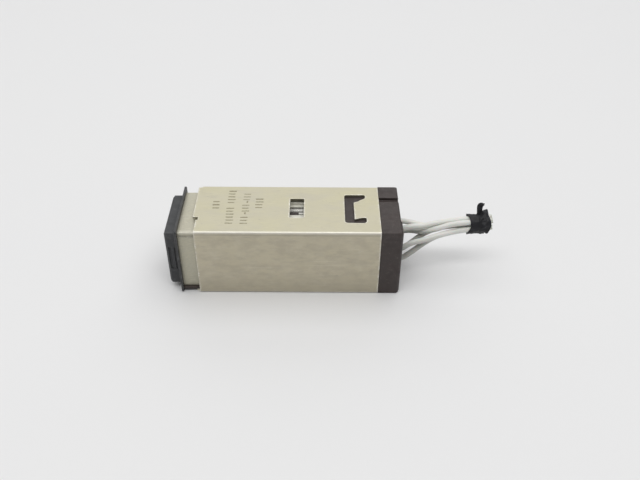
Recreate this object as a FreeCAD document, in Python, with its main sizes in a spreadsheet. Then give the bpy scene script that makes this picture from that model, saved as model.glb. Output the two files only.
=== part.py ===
"""Sleeve-mounted plug-in relay with a lighted push cap, as a parametric FreeCAD document.

The frame has its origin at the centre of the panel seat, the back face of the bezel flange.
+X runs rearwards along the module to its leads, +Y across it and +Z up. All sizes are in mm.
"""

import FreeCAD, Part
import math
import os
import re
import sys

import Sketcher

Vector = FreeCAD.Vector
Constraint = Sketcher.Constraint

# ---------------------------------------------------------------- driving dimensions

SIZES = {
    # mounting sleeve: a square tube of folded sheet
    "sleeve_half": 9.0,
    "sleeve_wall": 0.5,
    "sleeve_front": 3.8,
    "sleeve_rear": 45.5,
    "sleeve_outer_round": 0.6,
    "sleeve_inner_round": 0.1,
    "tab_front": 3.0,
    "tab_near": -3.4,
    "tab_far": 8.3,
    "relief_near": -4.4,
    "relief_rear": 4.25,
    "window_front": 24.9,
    "window_rear": 28.1,
    "window_near": -3.35,
    "window_far": 3.85,
    # the lanced tongue: one bar across and two arms towards the rear
    "tongue_bar_front": 37.5,
    "tongue_bar_rear": 39.65,
    "tongue_arm_rear": 42.25,
    "tongue_near": -5.1,
    "tongue_near_arm": -3.55,
    "tongue_far_arm": 3.75,
    "tongue_far_haunch": 2.85,
    "tongue_haunch_rear": 40.6,
    "tongue_far": 5.3,
    "tongue_round": 0.45,
    # bezel flange and the housing's two shells
    "flange_half": 8.95,
    "flange_thick": 0.5,
    "flange_round": 0.5,
    "shell_half": 7.8,
    "shell_wall": 0.4,
    "shell_rear": 33.0,
    "upper_lip_base": 6.8,
    "lower_lip_base": -6.75,
    # screw channel: a recess in the shell's wall, with its own floor and sides
    "channel_front": 10.0,
    "channel_near": -0.9,
    "channel_far": 3.7,
    "channel_floor": 5.3,
    "channel_lip_front": 21.0,
    "channel_lip_rear": 30.0,
    "channel_lip_near": 2.97,
    "channel_lip_low": 7.0,
    "channel_lip_top": 7.28,
    # slide rail under the neck and the pads at the rear that guide the sleeve
    "rail_half": 8.4,
    "rail_rear": 9.4,
    "guide_reach": 8.45,
    "pad_front": 27.6,
    "pad_rear": 31.6,
    "pad_half": 2.0,
    "pad_inner": 4.0,
    "pad_outer": 6.8,
    # clamp screws, nuts and clips
    "screw_across": 2.4,
    "screw_height": 6.35,
    "screw_radius": 0.8,
    "screw_rear": 32.2,
    "screw_head_radius": 1.0,
    "screw_head_front": 8.4,
    "screw_slot_half": 0.15,
    "screw_slot_depth": 0.5,
    "thread_clearance": 0.03,
    "clip_front": 10.05,
    "clip_rear": 10.4,
    "clip_radius": 1.05,
    "nut_front": 16.0,
    "nut_rear": 18.5,
    "nut_half": 1.2,
    "nut_low": 5.45,
    "stop_front": 24.2,
    "stop_rear": 26.9,
    "stop_far": 0.9,
    "stop_top": 7.3,
    "strip_rear": 29.5,
    "strip_far": 0.35,
    "strip_near": -0.2,
    "strip_top": 7.6,
    # push cap
    "cap_half": 7.3,
    "cap_front": -3.2,
    "cap_rear": 3.4,
    "cap_wall": 0.9,
    "cap_chamfer": 0.45,
    "cap_cavity_front": -2.1,
    "lens_half": 5.9,
    "lens_front": -3.0,
    "finger_front": -2.6,
    "finger_rear": -0.75,
    "finger_half": 3.2,
    "finger_depth": 0.4,
    "finger_rib_half": 0.35,
    "finger_rib_depth": 0.15,
    "divider_half": 0.25,
    "divider_rear": 1.2,
    "lamp_block_half": 5.1,
    "lamp_pitch_half": 3.0,
    "lamp_radius": 1.59,
    "lamp_front": -1.6,
    "lamp_rear": 4.2,
    "lamp_round": 1.2,
    # button carriage and what it carries
    "carriage_half": 7.25,
    "carriage_front": 4.4,
    "carriage_rear": 5.8,
    "prong_front": 1.2,
    "prong_inner": 5.3,
    "prong_outer": 6.1,
    "prong_half": 2.5,
    "access_radius": 1.3,
    "detent_front": 2.0,
    "detent_rear": 3.2,
    "detent_outer": 6.35,
    "detent_half": 1.5,
    "lamp_contact_radius": 1.0,
    "lamp_contact_thick": 0.15,
    "plunger_radius": 1.2,
    "plunger_rear": 12.2,
    "bridge_front": 11.3,
    "bridge_rear": 11.6,
    "bridge_reach": 3.2,
    "bridge_half": 0.9,
    "button_travel": 2.0,
    "spring_radius": 1.85,
    "spring_wire_radius": 0.16,
    "spring_half_turns": 9,
    # bulkhead behind the button and its pair of fixed contacts
    "bulkhead_front": 9.6,
    "bulkhead_rear": 10.8,
    "bulkhead_half": 7.35,
    "bulkhead_height": 4.85,
    "bushing_clearance": 0.05,
    "button_contact_thick": 0.3,
    "button_contact_inner": 2.4,
    "button_contact_outer": 4.2,
    "button_contact_gap": 0.05,
    # relay motor: yoke, core, coil
    "yoke_front": 16.1,
    "yoke_rear": 27.2,
    "yoke_half": 3.3,
    "yoke_base_low": -4.75,
    "yoke_base_top": -3.95,
    "yoke_post_front": 26.4,
    "yoke_post_top": 3.1,
    "ear_front": 15.1,
    "ear_rear": 17.4,
    "ear_outer": 3.8,
    "coil_height": -0.4,
    "bobbin_front": 17.0,
    "bobbin_flange": 0.6,
    "bobbin_half": 3.4,
    "bobbin_hub_radius": 1.7,
    "winding_radius": 3.15,
    "core_radius": 1.1,
    "core_head_front": 16.37,
    "core_head_radius": 2.0,
    "core_tail_radius": 0.8,
    # armature, its pin and the pusher card
    "armature_front": 15.2,
    "armature_rear": 16.0,
    "armature_half": 3.2,
    "armature_low": -4.85,
    "armature_top": 4.6,
    "pivot_along": 15.6,
    "pivot_height": -4.5,
    "pin_radius": 0.2,
    "card_front": 16.07,
    "card_rear": 28.55,
    "card_half": 2.4,
    "card_low": 3.9,
    "card_top": 4.6,
    "card_guide_half": 3.2,
    "card_guide_top": 4.85,
    "card_clearance": 0.05,
    # contact set
    "contact_base_front": 27.35,
    "contact_base_rear": 30.15,
    "contact_base_half": 3.0,
    "contact_base_low": -4.85,
    "contact_base_top": -3.7,
    "arm_front": 28.6,
    "arm_rear": 28.8,
    "arm_half": 1.5,
    "arm_low": -3.65,
    "arm_top": 4.7,
    "contact_height": 2.4,
    "contact_radius": 0.7,
    "contact_thick": 0.3,
    "closed_front": 27.7,
    "open_rear": 30.05,
    "blade_thick": 0.2,
    "blade_top": 3.3,
    "open_gap": 0.38,
    "touch_gap": 0.01,
    # header and pins
    "header_front": 31.0,
    "header_half": 7.35,
    "pin_pitch": 3.2,
    "header_pin_radius": 0.38,
    "header_pin_front": 30.3,
    "header_pin_rear": 39.0,
    "header_pin_round": 0.25,
    "rivet_along": 32.0,
    "rivet_height": 3.6,
    "rivet_radius": 0.35,
    "rivet_head_radius": 0.7,
    "rivet_head_thick": 0.18,
    "rivet_inner": 6.4,
    # rear socket block, which stays with the sleeve
    "block_front": 36.6,
    "block_inner_half": 8.47,
    "block_half": 8.95,
    "block_rear": 50.45,
    "block_round": 0.8,
    "block_inner_round": 0.45,
    "recess_depth": 0.3,
    "recess_near": -4.2,
    "groove_near": 2.95,
    "groove_far": 4.45,
    "groove_depth": 0.7,
    "cavity_radius": 0.85,
    "socket_front": 37.0,
    "socket_rear": 41.6,
    "socket_radius": 0.8,
    "socket_bore_radius": 0.45,
    "socket_bore_rear": 41.3,
    "plug_front": 46.0,
    "plug_head_rear": 50.45,
    "plug_radius": 0.84,
    "plug_head_radius": 0.98,
    # leads, their strands and the tape
    "lead_radius": 0.65,
    "strand_radius": 0.4,
    "strand_length": 0.6,
    "wrap_front": 65.6,
    "wrap_inner_radius": 2.14,
    "wrap_radius": 2.4,
    "knot_front": 68.6,
    "knot_rear": 70.7,
    "knot_radius": 2.85,
    "tail_low": 2.0,
    "tail_top": 5.2,
    "tail_half_along": 0.9,
    "tail_half_across": 0.5,
}

# The cavities of the socket block, in steps of the pin pitch from its middle.
LEAD_CAVITIES = ((1, 1), (0, 1), (1, 0), (-1, 0), (0, -1), (-1, -1))
SPARE_CAVITIES = ((0, 0), (-1, 1), (1, -1))

# The points that each lead follows: straight out of its contact and the block, in to the
# bundle, and through the tape to its cut end.
LEAD_POINTS = {
    "lead_a": ((41.6, 3.2, 3.2), (46.2, 3.3, 3.2), (50.9, 3.22, 3.24), (53.8, 2.75, 3.1),
               (56.8, 2.0, 2.6), (59.8, 1.85, 3.6), (63.0, 1.7, 4.4), (66.6, 1.35, 4.72),
               (71.4, 1.37, 5.3)),
    "lead_b": ((41.6, 0.0, 3.2), (46.2, 0.1, 3.2), (50.9, 0.03, 3.24), (53.2, -0.05, 4.11),
               (55.8, 0.04, 4.08), (58.8, 0.36, 4.79), (62.4, 0.47, 5.38), (66.6, 0.5, 6.05),
               (71.4, 0.52, 6.63)),
    "lead_c": ((41.6, 3.2, 0.0), (46.2, 3.3, 0.0), (50.9, 3.21, 0.01), (53.2, 2.6, 0.95),
               (55.8, 0.22, 2.24), (58.8, -0.89, 3.93), (62.4, -0.96, 5.5), (66.6, -0.86, 5.93),
               (71.4, -0.84, 6.51)),
    "lead_d": ((41.6, -3.2, 0.0), (46.2, -3.1, 0.0), (50.9, -3.17, 0.03), (53.2, -2.77, 1.39),
               (55.8, -2.52, 1.84), (58.8, -2.09, 2.81), (62.4, -1.54, 3.64), (66.6, -1.34, 4.39),
               (71.4, -1.32, 4.97)),
    "lead_e": ((41.6, 0.0, -3.2), (46.2, 0.1, -3.2), (50.9, 0.0, -3.2), (53.2, 0.42, -1.58),
               (55.8, 1.02, 0.66), (58.8, 0.61, 2.98), (62.4, 0.42, 3.97), (66.6, -0.02, 4.77),
               (71.4, 0.0, 5.35)),
    "lead_f": ((41.6, -3.2, -3.2), (46.2, -3.1, -3.2), (50.9, -3.22, -3.22), (53.2, -2.73, -1.67),
               (55.8, -1.8, 0.16), (58.8, -1.04, 1.92), (62.4, -0.43, 2.73), (66.6, 0.1, 3.36),
               (71.4, 0.12, 3.94)),
}

# The line that the tape is wound round: a point on it and its climb to the rear.
BUNDLE_START = 60.0
BUNDLE_HEIGHT = 4.0
BUNDLE_SLOPE = 0.12

document = FreeCAD.newDocument("PlugInRelay")
sheet = document.addObject("Spreadsheet::Sheet", "Sizes")
pieces = []


def fill_sheet():
    """One row for each size: its name, and its value with that name as alias."""
    for row, (name, value) in enumerate(SIZES.items(), start=1):
        sheet.set("A%d" % row, name)
        sheet.set("B%d" % row, str(value))
        sheet.setAlias("B%d" % row, name)
    document.recompute()


def cells(words):
    """The expression with the sheet's name before each size that it uses."""
    return re.sub(r"[a-z_]+", lambda found: "Sizes." + found.group(0), str(words))


def bind(thing, prop, words):
    thing.setExpression(prop, cells(words))


# ---------------------------------------------------------------- PartDesign helpers


def new_body(label):
    body = document.addObject("PartDesign::Body", label)
    body.Label = label
    body.AllowCompound = True
    pieces.append(body)
    return body


def sketch_across(body, name, station):
    """A sketch on the body's own YZ plane, moved along X to the station."""
    sketch = body.newObject("Sketcher::SketchObject", name)
    planes = body.Origin.OriginFeatures
    plane = next(feature for feature in planes if feature.Role == "YZ_Plane")
    sketch.AttachmentSupport = [(plane, "")]
    sketch.MapMode = "FlatFace"
    bind(sketch, "AttachmentOffset.Base.z", station)
    return sketch


def hold(sketch, kind, geometry, point, name, words):
    """Fix one coordinate of a point from the sketch's origin."""
    index = sketch.addConstraint(Constraint(kind, -1, 1, geometry, point, 1.0))
    sketch.renameConstraint(index, name)
    bind(sketch, "Constraints." + name, words)


def draw_rectangle(sketch, near, far, low, top):
    first = sketch.GeometryCount
    corners = [Vector(-1, -1), Vector(1, -1), Vector(1, 1), Vector(-1, 1)]
    for start, end in zip(corners, corners[1:] + corners[:1]):
        sketch.addGeometry(Part.LineSegment(start, end), False)
    for side in range(4):
        sketch.addConstraint(Constraint("Coincident", first + side, 2, first + (side + 1) % 4, 1))
        sketch.addConstraint(Constraint("Vertical" if side % 2 else "Horizontal", first + side))
    hold(sketch, "DistanceX", first, 1, "near%d" % first, near)
    hold(sketch, "DistanceX", first, 2, "far%d" % first, far)
    hold(sketch, "DistanceY", first, 1, "low%d" % first, low)
    hold(sketch, "DistanceY", first + 1, 2, "top%d" % first, top)


def draw_circle(sketch, across, height, radius):
    circle = sketch.addGeometry(Part.Circle(Vector(circle_start(sketch), 1), Vector(0, 0, 1), 0.5))
    hold(sketch, "DistanceX", circle, 3, "across%d" % circle, across)
    hold(sketch, "DistanceY", circle, 3, "height%d" % circle, height)
    index = sketch.addConstraint(Constraint("Radius", circle, 0.5))
    sketch.renameConstraint(index, "radius%d" % circle)
    bind(sketch, "Constraints.radius%d" % circle, radius)


def circle_start(sketch):
    """A first place clear of the circles drawn so far."""
    return 1 + 2 * sketch.GeometryCount


def grow(body, name, front, rear, rectangles=(), circles=()):
    """Add material between two stations along X."""
    sketch = sketch_across(body, name + "Sketch", front)
    for corners in rectangles:
        draw_rectangle(sketch, *corners)
    for centre_and_radius in circles:
        draw_circle(sketch, *centre_and_radius)
    pad = body.newObject("PartDesign::Pad", name)
    pad.Profile = sketch
    bind(pad, "Length", "(%s) - (%s)" % (rear, front))
    return pad


def cut(body, name, front, rear, rectangles=(), circles=()):
    """Take material away between two stations along X; the volume must fall."""
    document.recompute()
    before = body.Tip.Shape.Volume
    sketch = sketch_across(body, name + "Sketch", rear)
    for corners in rectangles:
        draw_rectangle(sketch, *corners)
    for centre_and_radius in circles:
        draw_circle(sketch, *centre_and_radius)
    pocket = body.newObject("PartDesign::Pocket", name)
    pocket.Profile = sketch
    bind(pocket, "Length", "(%s) - (%s)" % (rear, front))
    document.recompute()
    if body.Tip.Shape.Volume >= before:
        sys.exit("%s of %s cuts nothing" % (name, body.Label))
    return pocket


def break_edges(body, name, kind, amount, wanted):
    """Fillet or chamfer the straight edges whose middle and direction pass the test."""
    document.recompute()
    base = body.Tip
    chosen = []
    for number, edge in enumerate(base.Shape.Edges, start=1):
        middle = edge.CenterOfMass
        direction = (edge.lastVertex().Point - edge.firstVertex().Point)
        if wanted(middle, direction, edge):
            chosen.append("Edge%d" % number)
    if not chosen:
        sys.exit("%s of %s finds no edge" % (name, body.Label))
    dressing = body.newObject("PartDesign::" + kind, name)
    dressing.Base = (base, chosen)
    bind(dressing, "Radius" if kind == "Fillet" else "Size", amount)


def along_x(direction):
    return abs(direction.y) + abs(direction.z) < 1e-6 < abs(direction.x)


def at_corner(middle, half):
    return abs(abs(middle.y) - half) < 1e-6 and abs(abs(middle.z) - half) < 1e-6


def square(half):
    return ("-(%s)" % half, half, "-(%s)" % half, half)


def turned_over(body):
    """Half a turn about the module's own axis, for the piece that mirrors its twin."""
    body.Placement = FreeCAD.Placement(Vector(), FreeCAD.Rotation(Vector(1, 0, 0), 180))


def cylinder_across(label, along, height, near, far, radius):
    """A plain pin along Y."""
    pin = document.addObject("Part::Cylinder", label)
    pin.Label = label
    bind(pin, "Radius", radius)
    bind(pin, "Height", "(%s) - (%s)" % (far, near))
    bind(pin, "Placement.Base.x", along)
    bind(pin, "Placement.Base.y", near)
    bind(pin, "Placement.Base.z", height)
    pin.Placement.Rotation = FreeCAD.Rotation(Vector(1, 0, 0), -90)
    return pin


# ---------------------------------------------------------------- the sleeve and its block


def make_mounting_sleeve():
    body = new_body("mounting_sleeve")
    outer = square("sleeve_half")
    inner = square("sleeve_half - sleeve_wall")
    grow(body, "Tube", "sleeve_front", "sleeve_rear", [outer])
    break_edges(body, "OuterRound", "Fillet", "sleeve_outer_round",
                lambda middle, direction, edge: along_x(direction))
    cut(body, "Bore", "sleeve_front", "sleeve_rear", [inner])
    half_inside = SIZES["sleeve_half"] - SIZES["sleeve_wall"]
    break_edges(body, "InnerRound", "Fillet", "sleeve_inner_round",
                lambda middle, direction, edge: along_x(direction) and at_corner(middle, half_inside))
    # a tab and its relief at the front of the top, and the same turned over at the bottom
    top = ("sleeve_half - sleeve_wall", "sleeve_half")
    bottom = ("-sleeve_half", "-(sleeve_half - sleeve_wall)")
    grow(body, "Tabs", "tab_front", "sleeve_front",
         [("tab_near", "tab_far") + top, ("-tab_far", "-tab_near") + bottom])
    cut(body, "Reliefs", "sleeve_front", "relief_rear",
        [("relief_near", "tab_near") + top, ("-tab_near", "-relief_near") + bottom])
    cut(body, "Window", "window_front", "window_rear", [("window_near", "window_far") + top])
    cut(body, "TongueBar", "tongue_bar_front", "tongue_bar_rear", [("tongue_near", "tongue_far") + top])
    cut(body, "TongueNearArm", "tongue_bar_rear", "tongue_arm_rear",
        [("tongue_near", "tongue_near_arm") + top])
    cut(body, "TongueFarArm", "tongue_bar_rear", "tongue_arm_rear",
        [("tongue_far_arm", "tongue_far") + top])
    cut(body, "TongueHaunch", "tongue_bar_rear", "tongue_haunch_rear",
        [("tongue_far_haunch", "tongue_far_arm") + top])
    break_edges(body, "TongueRound", "Fillet", "tongue_round", at_tongue_outline)


def at_tongue_outline(middle, direction, edge):
    """The upright edges at the outer corners of the tongue's cut-out."""
    upright = abs(direction.x) + abs(direction.y) < 1e-6 < abs(direction.z)
    ends = (SIZES["tongue_bar_front"], SIZES["tongue_arm_rear"])
    sides = (SIZES["tongue_near"], SIZES["tongue_far"])
    at_end = min(abs(middle.x - station) for station in ends) < 1e-6
    at_side = min(abs(middle.y - side) for side in sides) < 1e-6
    return upright and at_end and at_side


def grid_place(step):
    """Expressions for a place on the pin grid."""
    return ("%d * pin_pitch" % step[0], "%d * pin_pitch" % step[1])


def all_steps():
    return [(across, up) for across in (-1, 0, 1) for up in (-1, 0, 1)]


def make_socket_block():
    body = new_body("socket_block")
    grow(body, "Head", "sleeve_rear", "block_rear", [square("block_half")])
    break_edges(body, "HeadRound", "Fillet", "block_round",
                lambda middle, direction, edge: middle.x > SIZES["block_rear"] - 1e-6)
    grow(body, "Plug", "block_front", "sleeve_rear", [square("block_inner_half")])
    break_edges(body, "PlugRound", "Fillet", "block_inner_round",
                lambda middle, direction, edge: (along_x(direction)
                                                 and at_corner(middle, SIZES["block_inner_half"])))
    cut(body, "Recess", "block_rear - recess_depth", "block_rear",
        [("recess_near", "sleeve_half", "-sleeve_half", "sleeve_half")])
    cut(body, "Groove", "sleeve_rear", "block_rear",
        [("groove_near", "groove_far", "block_half - groove_depth", "sleeve_half")])
    cut(body, "Cavities", "block_front", "block_rear",
        circles=[grid_place(step) + ("cavity_radius",) for step in all_steps()])


def make_socket_contacts():
    body = new_body("socket_contacts")
    places = [grid_place(step) for step in LEAD_CAVITIES]
    grow(body, "Barrels", "socket_front", "socket_rear",
         circles=[place + ("socket_radius",) for place in places])
    cut(body, "Bores", "socket_front", "socket_bore_rear",
        circles=[place + ("socket_bore_radius",) for place in places])


def make_cavity_plugs():
    body = new_body("cavity_plugs")
    places = [grid_place(step) for step in SPARE_CAVITIES]
    grow(body, "Stems", "plug_front", "block_rear - recess_depth",
         circles=[place + ("plug_radius",) for place in places])
    grow(body, "Heads", "block_rear - recess_depth", "plug_head_rear",
         circles=[place + ("plug_head_radius",) for place in places])


def make_clamp_nut(label, over):
    body = new_body(label)
    grow(body, "Nut", "nut_front", "nut_rear",
         [("screw_across - nut_half", "screw_across + nut_half", "nut_low", "sleeve_half - sleeve_wall")])
    cut(body, "Thread", "nut_front", "nut_rear",
        circles=[("screw_across", "screw_height", "screw_radius + thread_clearance")])
    if over:
        turned_over(body)


def make_clamp_screw(label, over):
    body = new_body(label)
    place = ("screw_across", "screw_height")
    grow(body, "Head", "screw_head_front", "bulkhead_front - thread_clearance",
         circles=[place + ("screw_head_radius",)])
    grow(body, "Shank", "bulkhead_front - thread_clearance", "screw_rear",
         circles=[place + ("screw_radius",)])
    cut(body, "Slot", "screw_head_front", "screw_head_front + screw_slot_depth",
        [("screw_across - 2 * screw_head_radius", "screw_across + 2 * screw_head_radius",
          "screw_height - screw_slot_half", "screw_height + screw_slot_half")])
    if over:
        turned_over(body)


def make_screw_clip(label, over):
    body = new_body(label)
    place = ("screw_across", "screw_height")
    grow(body, "Ring", "clip_front", "clip_rear", circles=[place + ("clip_radius",)])
    cut(body, "Bore", "clip_front", "clip_rear", circles=[place + ("screw_radius",)])
    if over:
        turned_over(body)


# ---------------------------------------------------------------- the housing


def make_bezel_flange():
    body = new_body("bezel_flange")
    grow(body, "Plate", "-flange_thick", "0", [square("flange_half")])
    break_edges(body, "CornerRound", "Fillet", "flange_round",
                lambda middle, direction, edge: along_x(direction))
    cut(body, "Opening", "-flange_thick", "0", [square("shell_half")])
    cut(body, "RailNotch", "-flange_thick", "0",
        [("-rail_half", "rail_half", "-guide_reach", "-shell_half + shell_wall")])


def make_shell(label, lip_base, over):
    """A folded shell: a wall, two lips and the boxed-in recess that the clamp screw lies in."""
    body = new_body(label)
    grow(body, "Fold", "-flange_thick", "shell_rear", [("-shell_half", "shell_half", lip_base, "shell_half")])
    cut(body, "Hollow", "-flange_thick", "shell_rear",
        [("-(shell_half - shell_wall)", "shell_half - shell_wall", "-sleeve_half",
          "shell_half - shell_wall")])
    grow(body, "Box", "channel_front - shell_wall", "shell_rear",
         [("channel_near - shell_wall", "channel_far + shell_wall", "channel_floor - shell_wall",
           "shell_half - shell_wall")])
    cut(body, "Channel", "channel_front", "shell_rear",
        [("channel_near", "channel_far", "channel_floor", "sleeve_half")])
    grow(body, "ChannelLip", "channel_lip_front", "channel_lip_rear",
         [("channel_lip_near", "channel_far", "channel_lip_low", "channel_lip_top")])
    cut(body, "ScrewHole", "channel_front - shell_wall", "channel_front",
        circles=[("screw_across", "screw_height", "screw_radius + thread_clearance")])
    if over:
        turned_over(body)
    return body


def add_rivet_holes(body):
    """Two holes in each side wall for the rivets into the header."""
    document.recompute()
    before = body.Tip.Shape.Volume
    for side in (-1, 1):
        sketch = body.newObject("Sketcher::SketchObject", "RivetSketch%d" % (side + 1))
        planes = body.Origin.OriginFeatures
        plane = next(feature for feature in planes if feature.Role == "XZ_Plane")
        sketch.AttachmentSupport = [(plane, "")]
        sketch.MapMode = "FlatFace"
        bind(sketch, "AttachmentOffset.Base.z", "-%d * sleeve_half" % side)
        for up in (-1, 1):
            draw_circle(sketch, "rivet_along", "%d * rivet_height" % up, "rivet_radius")
        pocket = body.newObject("PartDesign::Pocket", "RivetHoles%d" % (side + 1))
        pocket.Profile = sketch
        pocket.Reversed = side > 0
        bind(pocket, "Length", "sleeve_half - rivet_inner")
    document.recompute()
    if body.Tip.Shape.Volume >= before:
        sys.exit("the rivet holes of %s cut nothing" % body.Label)


def make_shell_rivets():
    shapes = []
    for side in (-1, 1):
        for up in (-1, 1):
            base = Vector(SIZES["rivet_along"], side * SIZES["rivet_inner"], up * SIZES["rivet_height"])
            outwards = Vector(0, side, 0)
            reach = SIZES["shell_half"] - SIZES["rivet_inner"]
            shank = Part.makeCylinder(SIZES["rivet_radius"], reach, base, outwards)
            head = Part.makeCylinder(SIZES["rivet_head_radius"], SIZES["rivet_head_thick"],
                                     base + outwards * reach, outwards)
            shapes.append(shank.fuse(head).removeSplitter())
    add_shape("shell_rivets", Part.makeCompound(shapes))


def add_shape(label, shape):
    piece = document.addObject("Part::Feature", label)
    piece.Label = label
    piece.Shape = shape
    pieces.append(piece)


def make_rail_and_pads():
    rail = new_body("bottom_rail")
    grow(rail, "Rail", "-flange_thick", "rail_rear",
         [("-rail_half", "rail_half", "-guide_reach", "-shell_half")])
    pads = new_body("guide_pads")
    top = ("-pad_outer", "-pad_inner", "shell_half", "guide_reach")
    bottom = ("pad_inner", "pad_outer", "-guide_reach", "-shell_half")
    far_side = ("shell_half", "guide_reach", "-pad_half", "pad_half")
    near_side = ("-guide_reach", "-shell_half", "-pad_half", "pad_half")
    grow(pads, "Pads", "pad_front", "pad_rear", [top, bottom, far_side, near_side])


def make_channel_stop():
    stop = new_body("travel_stop")
    grow(stop, "Block", "stop_front", "stop_rear",
         [("channel_near", "stop_far", "channel_floor", "stop_top")])
    strip = new_body("stop_strip")
    grow(strip, "Strip", "stop_rear", "strip_rear",
         [("strip_near", "strip_far", "channel_floor", "strip_top")])


def make_bulkhead():
    body = new_body("bulkhead")
    grow(body, "Plate", "bulkhead_front", "bulkhead_rear",
         [("-bulkhead_half", "bulkhead_half", "-bulkhead_height", "bulkhead_height")])
    cut(body, "Bushing", "bulkhead_front", "bulkhead_rear",
        circles=[("0", "0", "plunger_radius + bushing_clearance")])


def make_button_contacts():
    body = new_body("button_contacts")
    foot_front = "bridge_rear + button_travel + button_contact_gap"
    foot_rear = foot_front + " + button_contact_thick"
    leg_inner = "button_contact_outer - button_contact_thick"
    far_leg = (leg_inner, "button_contact_outer", "-bridge_half", "bridge_half")
    near_leg = ("-button_contact_outer", "-(%s)" % leg_inner, "-bridge_half", "bridge_half")
    far_foot = ("button_contact_inner", leg_inner, "-bridge_half", "bridge_half")
    near_foot = ("-(%s)" % leg_inner, "-button_contact_inner", "-bridge_half", "bridge_half")
    grow(body, "Legs", "bulkhead_rear", foot_rear, [far_leg, near_leg])
    grow(body, "Feet", foot_front, foot_rear, [far_foot, near_foot])


def make_yoke():
    body = new_body("yoke")
    grow(body, "Base", "yoke_front", "yoke_rear",
         [("-yoke_half", "yoke_half", "yoke_base_low", "yoke_base_top")])
    grow(body, "Post", "yoke_post_front", "yoke_rear",
         [("-yoke_half", "yoke_half", "yoke_base_top", "yoke_post_top")])
    grow(body, "Ears", "ear_front", "ear_rear",
         [("yoke_half", "ear_outer", "yoke_base_low", "yoke_base_top"),
          ("-ear_outer", "-yoke_half", "yoke_base_low", "yoke_base_top")])
    cut(body, "TailHole", "yoke_post_front", "yoke_rear",
        circles=[("0", "coil_height", "core_tail_radius")])
    drill_across(body, "ear_outer", "pin_radius")


def drill_across(body, reach, radius):
    """A through hole along Y at the armature's pivot."""
    document.recompute()
    before = body.Tip.Shape.Volume
    sketch = body.newObject("Sketcher::SketchObject", "PivotSketch")
    planes = body.Origin.OriginFeatures
    plane = next(feature for feature in planes if feature.Role == "XZ_Plane")
    sketch.AttachmentSupport = [(plane, "")]
    sketch.MapMode = "FlatFace"
    draw_circle(sketch, "pivot_along", "pivot_height", radius)
    pocket = body.newObject("PartDesign::Pocket", "PivotHole")
    pocket.Profile = sketch
    pocket.SideType = "Symmetric"
    bind(pocket, "Length", "2 * (%s)" % reach)
    document.recompute()
    if body.Tip.Shape.Volume >= before:
        sys.exit("the pivot hole of %s cuts nothing" % body.Label)


def make_coil():
    height = "coil_height"
    core = new_body("coil_core")
    grow(core, "Head", "core_head_front", "bobbin_front", circles=[("0", height, "core_head_radius")])
    grow(core, "Rod", "bobbin_front", "yoke_post_front", circles=[("0", height, "core_radius")])
    grow(core, "Tail", "yoke_post_front", "yoke_rear", circles=[("0", height, "core_tail_radius")])
    bobbin = new_body("coil_bobbin")
    flange = ("-bobbin_half", "bobbin_half", "coil_height - bobbin_half", "coil_height + bobbin_half")
    inner_front = "bobbin_front + bobbin_flange"
    inner_rear = "yoke_post_front - bobbin_flange"
    grow(bobbin, "FrontFlange", "bobbin_front", inner_front, [flange])
    grow(bobbin, "Hub", inner_front, inner_rear, circles=[("0", height, "bobbin_hub_radius")])
    grow(bobbin, "RearFlange", inner_rear, "yoke_post_front", [flange])
    cut(bobbin, "Bore", "bobbin_front", "yoke_post_front", circles=[("0", height, "core_radius")])
    winding = new_body("coil_winding")
    grow(winding, "Turns", inner_front, inner_rear, circles=[("0", height, "winding_radius")])
    cut(winding, "HubHole", inner_front, inner_rear, circles=[("0", height, "bobbin_hub_radius")])


def make_armature():
    body = new_body("armature")
    grow(body, "Plate", "armature_front", "armature_rear",
         [("-armature_half", "armature_half", "armature_low", "armature_top")])
    drill_across(body, "armature_half", "pin_radius + thread_clearance")
    pieces.append(cylinder_across("armature_pin", "pivot_along", "pivot_height",
                                  "-ear_outer", "ear_outer", "pin_radius"))


def make_card_and_guide():
    card = new_body("pusher_card")
    grow(card, "Card", "card_front", "card_rear", [("-card_half", "card_half", "card_low", "card_top")])
    guide = new_body("card_guide")
    grow(guide, "Saddle", "yoke_post_front", "yoke_rear",
         [("-card_guide_half", "card_guide_half", "yoke_post_top", "card_guide_top")])
    cut(guide, "Slot", "yoke_post_front", "yoke_rear",
        [("-card_half - card_clearance", "card_half + card_clearance",
          "card_low - card_clearance", "card_top + card_clearance")])


def make_contact_set():
    base = new_body("contact_base")
    grow(base, "Base", "contact_base_front", "contact_base_rear",
         [("-contact_base_half", "contact_base_half", "contact_base_low", "contact_base_top")])
    button = ("0", "contact_height", "contact_radius")
    blade = ("-arm_half", "arm_half", "contact_base_top", "blade_top")
    closed = new_body("contact_closed")
    grow(closed, "Blade", "closed_front", "closed_front + blade_thick", [blade])
    grow(closed, "Button", "closed_front + blade_thick", "arm_front - contact_thick - touch_gap",
         circles=[button])
    opened = new_body("contact_open")
    grow(opened, "Blade", "open_rear - blade_thick", "open_rear", [blade])
    grow(opened, "Button", "arm_rear + contact_thick + open_gap", "open_rear - blade_thick",
         circles=[button])
    arm = new_body("contact_arm")
    grow(arm, "Blade", "arm_front", "arm_rear", [("-arm_half", "arm_half", "arm_low", "arm_top")])
    grow(arm, "FrontButton", "arm_front - contact_thick", "arm_front", circles=[button])
    grow(arm, "RearButton", "arm_rear", "arm_rear + contact_thick", circles=[button])


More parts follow.
